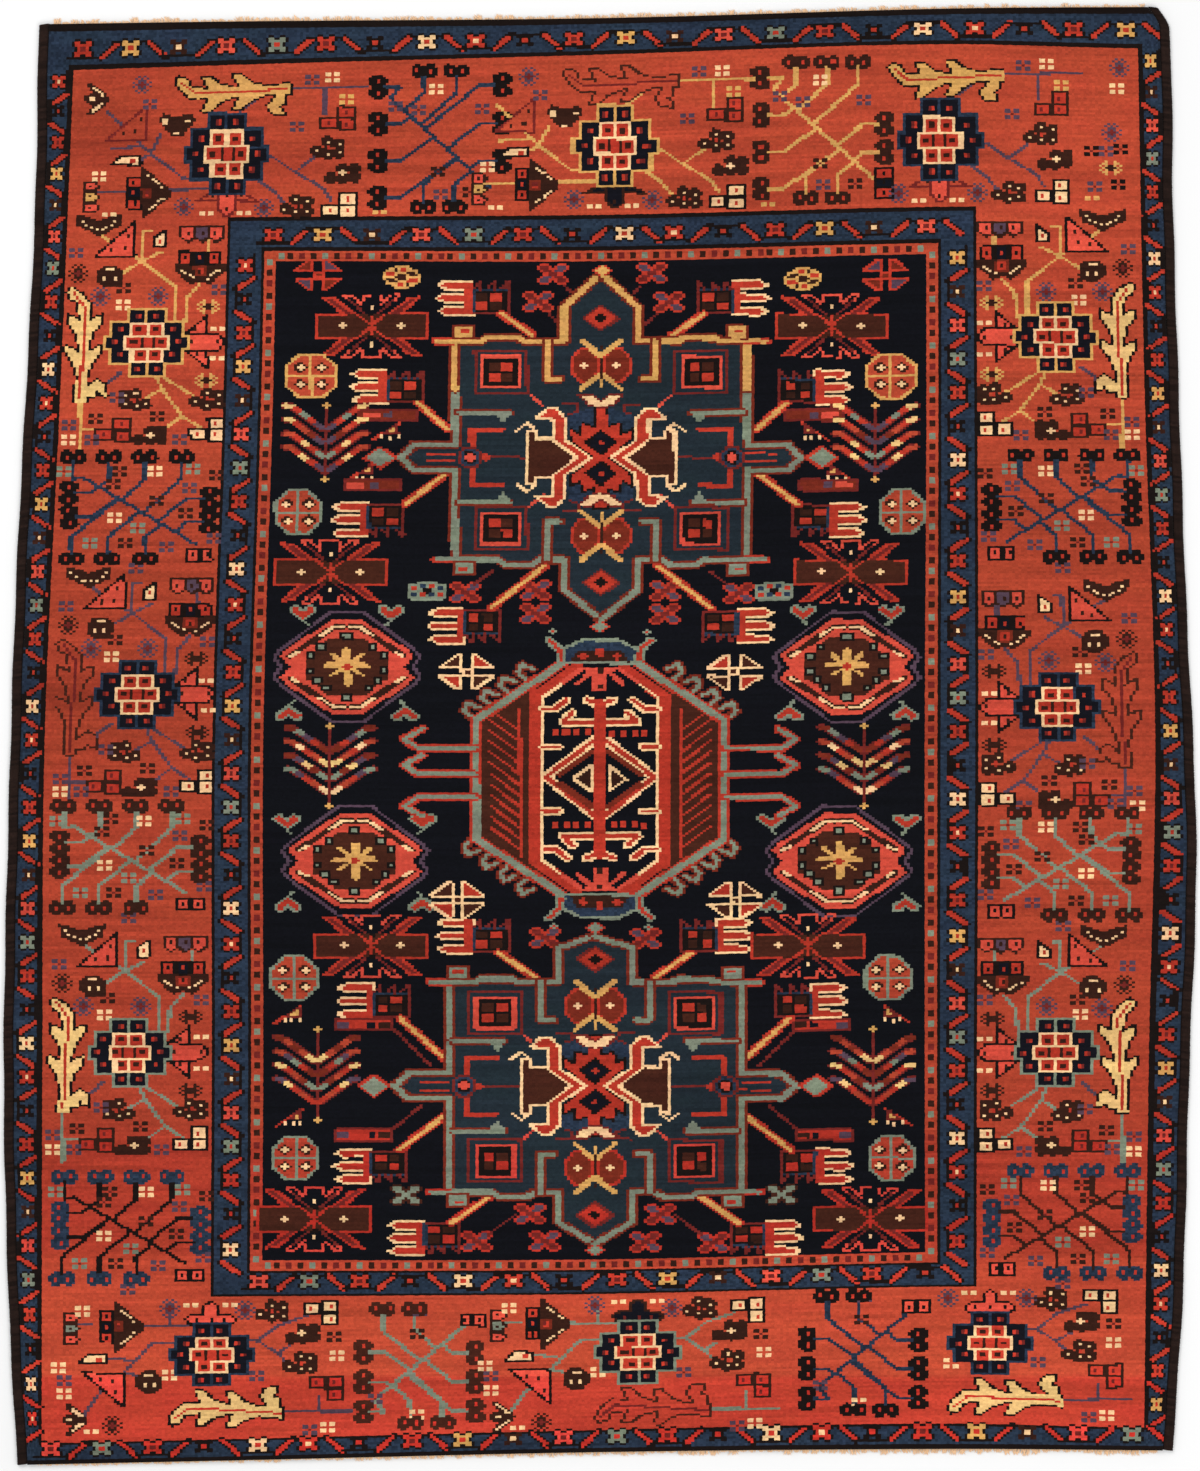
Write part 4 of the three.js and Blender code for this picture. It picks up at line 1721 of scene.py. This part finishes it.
def tube(path, radii, sides):
    """Points and faces of a tube along a path. path (n, 3), radii (n,)."""
    ahead = np.gradient(path, axis=0)
    ahead /= np.linalg.norm(ahead, axis=1, keepdims=True) + 1e-9
    side = np.cross(ahead, [0, 0, 1.0])
    side /= np.linalg.norm(side, axis=1, keepdims=True) + 1e-9
    up = np.cross(side, ahead)
    turn = np.arange(sides) * 2 * math.pi / sides
    ring = side[:, None] * np.cos(turn)[None, :, None] + up[:, None] * np.sin(turn)[None, :, None]
    points = path[:, None] + ring * np.asarray(radii)[:, None, None]
    return points.reshape(-1, 3), tube_faces(len(path), sides)


FRINGE_COUNT = 1500            # warp ends along each end of the rug
FRINGE_LENGTH = 8.2            # mm, of the longest tufts where the fringe is full
FRINGE_SHORTEST = 1.5          # mm
FRINGE_ROOT = 1.2              # mm of each warp end that are under the knots
FRINGE_SIDES = 5
FRINGE_TAPER = np.array([1, 1, 1, 0.85, 0.35])   # of its thickness, at five places along it
FRINGE_COLOUR = (255, 212, 168)
TUFT = 12.0                    # mm, from one tuft of warp ends to the next
TUFT_LEAN = 0.3                # how much the sides of a tuft lean in to its middle


def make_fringe(name, edge_column, out, x_start, x_end, fullness, seed):
    """Frayed warp ends along one end of the rug. Fullness: how full the fringe is at its left and right."""
    draw = np.random.default_rng(seed)
    all_points, all_faces, all_colours = [], [], []
    total = 0
    tufts = draw.uniform(0.35, 1, int((x_end - x_start) / TUFT) + 2)
    t = np.linspace(0, 1, len(FRINGE_TAPER))
    for i in range(FRINGE_COUNT):
        share = (i + draw.uniform(0.1, 0.9)) / FRINGE_COUNT
        x = x_start + (x_end - x_start) * share
        full = fullness[0] + (fullness[1] - fullness[0]) * share
        place = (x - x_start) / TUFT + 0.3 * math.sin(x / 37)
        aside = 2 * (place % 1) - 1
        rounding = math.sqrt(1 - 0.85 * aside * aside)
        length = FRINGE_SHORTEST + full * FRINGE_LENGTH * tufts[int(place)] * rounding * draw.uniform(0.85, 1)
        lean = draw.normal(0, 0.2) - TUFT_LEAN * aside
        curl = draw.normal(0, 0.7)
        px = x + length * (lean * t + curl * 0.35 * t * t)
        py = end_height(edge_column, x) + out * (length * t - FRINGE_ROOT)
        pz = 2.6 - 1.2 * t + draw.uniform(0, 0.6) * np.sin(math.pi * t)
        path = np.stack([px, py, np.maximum(pz, 0.8)], -1) / 1000
        thickness = draw.uniform(0.45, 0.75) / 1000
        points, faces = tube(path, thickness * FRINGE_TAPER, FRINGE_SIDES)
        all_points.append(points)
        all_faces.append(faces + total)
        shade = draw.uniform(0.88, 1.0)
        all_colours.append(np.tile(to_linear(FRINGE_COLOUR) * shade, (len(faces), 1)))
        total += len(points)
    points, faces, colours = (np.concatenate(parts) for parts in (all_points, all_faces, all_colours))
    return make_mesh(name, points, faces, colours)


TURN_OF_WOOL = 3.1             # mm, from one turn of the overcasting to the next
SELVEDGE_SIDES = 18            # faces round the overcast edge
SELVEDGE_HALF_HEIGHT = 3.45
SELVEDGE_SPARE = 0.05          # how much wider each side is made, so that no gap shows beside the knots
SELVEDGE_SHIFT = 0.2           # and how far its middle is moved inwards for that
SELVEDGE_GROOVE = 0.16         # depth of the groove between the two cords, as a share of the height
SELVEDGE_SLANT = 0.14          # how much each turn slants
SELVEDGE_COLOUR = (34, 22, 18)


def make_selvedge(name, edge, inward, top, bottom, seed):
    """Dark wool overcast round two cords, one ridge to each turn of the wool."""
    draw = np.random.default_rng(seed)
    turns = int((top - bottom) / TURN_OF_WOOL)
    count = turns * 2 + 1
    y = np.linspace(top, bottom, count)
    x = edge(y) + inward * (SELVEDGE / 2 + SELVEDGE_SHIFT)
    angle = np.arange(SELVEDGE_SIDES) * 2 * math.pi / SELVEDGE_SIDES
    across_unit, up_unit = np.cos(angle), np.sin(angle)
    groove = 1 - SELVEDGE_GROOVE * np.exp(-(across_unit / 0.28) ** 2)
    half_width = SELVEDGE / 2 + SELVEDGE_SPARE
    swell = np.where(np.arange(count) % 2 == 0, 0.93, 1.0) * (1 + 0.035 * draw.uniform(-1, 1, count))
    wide = half_width * swell[:, None] * across_unit[None]
    high = SELVEDGE_HALF_HEIGHT * swell[:, None] * (up_unit * groove)[None]
    slant = SELVEDGE_SLANT * wide * inward
    points = np.stack([x[:, None] + wide, y[:, None] + slant, high + SELVEDGE_HALF_HEIGHT], -1) / 1000
    grain = draw.uniform(0.6, 1.35, turns).repeat(2)[:, None]
    shade = grain * draw.uniform(0.85, 1.15, (count - 1, SELVEDGE_SIDES))
    brown = to_linear(SELVEDGE_COLOUR) * shade[..., None]
    return make_mesh(name, points.reshape(-1, 3), tube_faces(count, SELVEDGE_SIDES), brown.reshape(-1, 3))


# Materials

def add_node(material, kind, values=None, links=None):
    """A shader node. Values and links are given by the names of its inputs."""
    node = material.node_tree.nodes.new("ShaderNode" + kind)
    for name, value in (values or {}).items():
        node.inputs[name].default_value = value
    for name, socket in (links or {}).items():
        material.node_tree.links.new(socket, node.inputs[name])
    return node


def new_material(name, values):
    """A material and its shader, on whose own sockets the plain values are set."""
    material = bpy.data.materials.new(name)
    material.use_nodes = True
    material.node_tree.nodes.clear()
    output = add_node(material, "OutputMaterial")
    shader = add_node(material, "BsdfPrincipled", values)
    material.node_tree.links.new(shader.outputs["BSDF"], output.inputs["Surface"])
    return material, shader


def noise_node(material, scale, detail, stretch=(1, 1, 1)):
    """Noise in object space, `scale` to the metre, drawn out along the axes where stretch is small."""
    place = add_node(material, "TexCoord")
    mapping = add_node(material, "Mapping", {"Scale": stretch}, {"Vector": place.outputs["Object"]})
    values = {"Scale": scale, "Detail": detail}
    return add_node(material, "TexNoise", values, {"Vector": mapping.outputs["Vector"]}).outputs["Fac"]


def ranged(material, value, low, high):
    """Noise between 0.25 and 0.75 spread over low to high."""
    limits = {"From Min": 0.25, "From Max": 0.75, "To Min": low, "To Max": high}
    return add_node(material, "MapRange", limits, {"Value": value}).outputs["Result"]


def shaded(material, colour, factor):
    """A colour multiplied by a value."""
    node = add_node(material, "VectorMath")
    node.operation = "SCALE"
    material.node_tree.links.new(colour, node.inputs[0])
    material.node_tree.links.new(factor, node.inputs["Scale"])
    return node.outputs["Vector"]


def wool(name, roughness, sheen, fibres, stretch, relief, strength, shades):
    """Wool coloured knot by knot, with fibres that vary its shade and stand up a little.

    There are `fibres` to the metre, `relief` is how far they stand up in metres, and `shades` are
    the darkest and the lightest of them.
    """
    material, shader = new_material(name, {
        "Roughness": roughness,
        "Specular IOR Level": 0.1,
        "Sheen Weight": sheen,
        "Sheen Roughness": 0.45,
    })
    grain = noise_node(material, fibres, 3, stretch)
    tufts = noise_node(material, fibres * 0.3, 2)
    yarn = add_node(material, "Attribute")
    yarn.attribute_name = "yarn"
    colour = shaded(material, yarn.outputs["Color"], ranged(material, grain, *shades))
    colour = shaded(material, colour, ranged(material, tufts, 0.94, 1.06))
    bump = add_node(material, "Bump", {"Strength": strength, "Distance": relief}, {"Height": grain})
    material.node_tree.links.new(colour, shader.inputs["Base Color"])
    material.node_tree.links.new(bump.outputs["Normal"], shader.inputs["Normal"])
    return material


# The rug

def finish_piece(piece, material, slot, *nodes):
    piece.data.materials.append(material)
    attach(piece, "root")
    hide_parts(*nodes)


def end_height(column, x):
    """Height of a woven end at one place across, in mm."""
    return float(smooth(ENDS, column, np.array([x], float))[0])


# Where the selvedges end at the top and the bottom, and where the fringes start and end, in mm across
LEFT_CORNERS = (-688, -717)
RIGHT_CORNERS = (685, 703)
TOP_FRINGE = (-684, 680)
BOTTOM_FRINGE = (-706, 698)


def overcast_edge(name, edge, inward, corners, seed):
    top, bottom = end_height(1, corners[0]), end_height(2, corners[1])
    return make_selvedge(name, edge, inward, top, bottom, seed)


colours = knot_colours()
pile = wool("pile_wool", roughness=0.95, sheen=0.05, fibres=1500, stretch=(1, 0.4, 1),
            relief=0.0006, strength=0.5, shades=(0.85, 1.15))
back = wool("back_wool", roughness=0.97, sheen=0.05, fibres=700, stretch=(1, 1.4, 1),
            relief=0.0004, strength=0.6, shades=(0.85, 1.12))
overcast = wool("selvedge_wool", roughness=0.95, sheen=0.1, fibres=1200, stretch=(0.35, 1, 1),
                relief=0.0004, strength=0.6, shades=(0.75, 1.25))
warp = wool("warp_wool", roughness=0.92, sheen=0.1, fibres=1600, stretch=(1, 0.3, 1),
            relief=0.0001, strength=0.3, shades=(0.94, 1.06))

strips = make_pile(colours)
for strip in strips:
    finish_piece(strip, pile, "pile_wool", "rug")
rug_back = make_back(colours)
finish_piece(rug_back, back, "pile_wool", "rug")

selvedge_left = overcast_edge("overcast_left", left_edge, 1, LEFT_CORNERS, 21)
finish_piece(selvedge_left, overcast, "selvedge_wool", "selvedge_left")
selvedge_right = overcast_edge("overcast_right", right_edge, -1, RIGHT_CORNERS, 22)
finish_piece(selvedge_right, overcast, "selvedge_wool", "selvedge_right")
warps_top = make_fringe("warps_top", 1, 1, *TOP_FRINGE, (1.05, 0.8), 31)
finish_piece(warps_top, warp, "warp_wool", "fringe_top")
warps_bottom = make_fringe("warps_bottom", 2, -1, *BOTTOM_FRINGE, (0.45, 1.3), 32)
finish_piece(warps_bottom, warp, "warp_wool", "fringe_bottom")


# The studio

FRAME_HEIGHT = 1.83875         # metres of floor that the photograph takes in, top to bottom
CAMERA_HEIGHT = 6.0
SENSOR = 36                    # mm
FLOOR_HALF = 6.0
FLOOR_HEIGHT = -0.0004         # just under the foundation


def add_floor():
    values = {"Roughness": 0.9, "Specular IOR Level": 0.1, "Base Color": (0.93, 0.93, 0.93, 1)}
    material, _ = new_material("pale_floor", values)
    corners = ((-1, -1), (1, -1), (1, 1), (-1, 1))
    points = np.array([(FLOOR_HALF * x, FLOOR_HALF * y, FLOOR_HEIGHT) for x, y in corners])
    floor = make_mesh("floor", points, np.array([[0, 1, 2, 3]]))
    floor.data.materials.append(material)


def add_camera():
    data = bpy.data.cameras.new("camera")
    data.sensor_width = SENSOR
    data.lens = SENSOR * (CAMERA_HEIGHT - PILE_HEIGHT) / FRAME_HEIGHT
    camera = bpy.data.objects.new("camera", data)
    camera.location = (0, 0, CAMERA_HEIGHT)
    bpy.context.collection.objects.link(camera)
    bpy.context.scene.camera = camera


def add_light(name, place, size, power):
    """A soft square lamp that points at the rug's middle."""
    data = bpy.data.lights.new(name, "AREA")
    data.size = size
    data.energy = power
    light = bpy.data.objects.new(name, data)
    light.location = place
    light.rotation_euler = (-math.atan2(place[1], place[2]), math.atan2(place[0], place[2]), 0)
    bpy.context.collection.objects.link(light)


add_floor()
add_camera()
add_light("key", (-1.6, 1.8, 4.2), 2.6, 90)
add_light("fill", (2.0, -1.6, 4.0), 2.6, 68)
world = bpy.data.worlds.new("studio")
world.use_nodes = True
world.node_tree.nodes["Background"].inputs["Color"].default_value = (1, 1, 1, 1)
world.node_tree.nodes["Background"].inputs["Strength"].default_value = 0.55
bpy.context.scene.world = world
bpy.context.scene.view_settings.view_transform = "Standard"
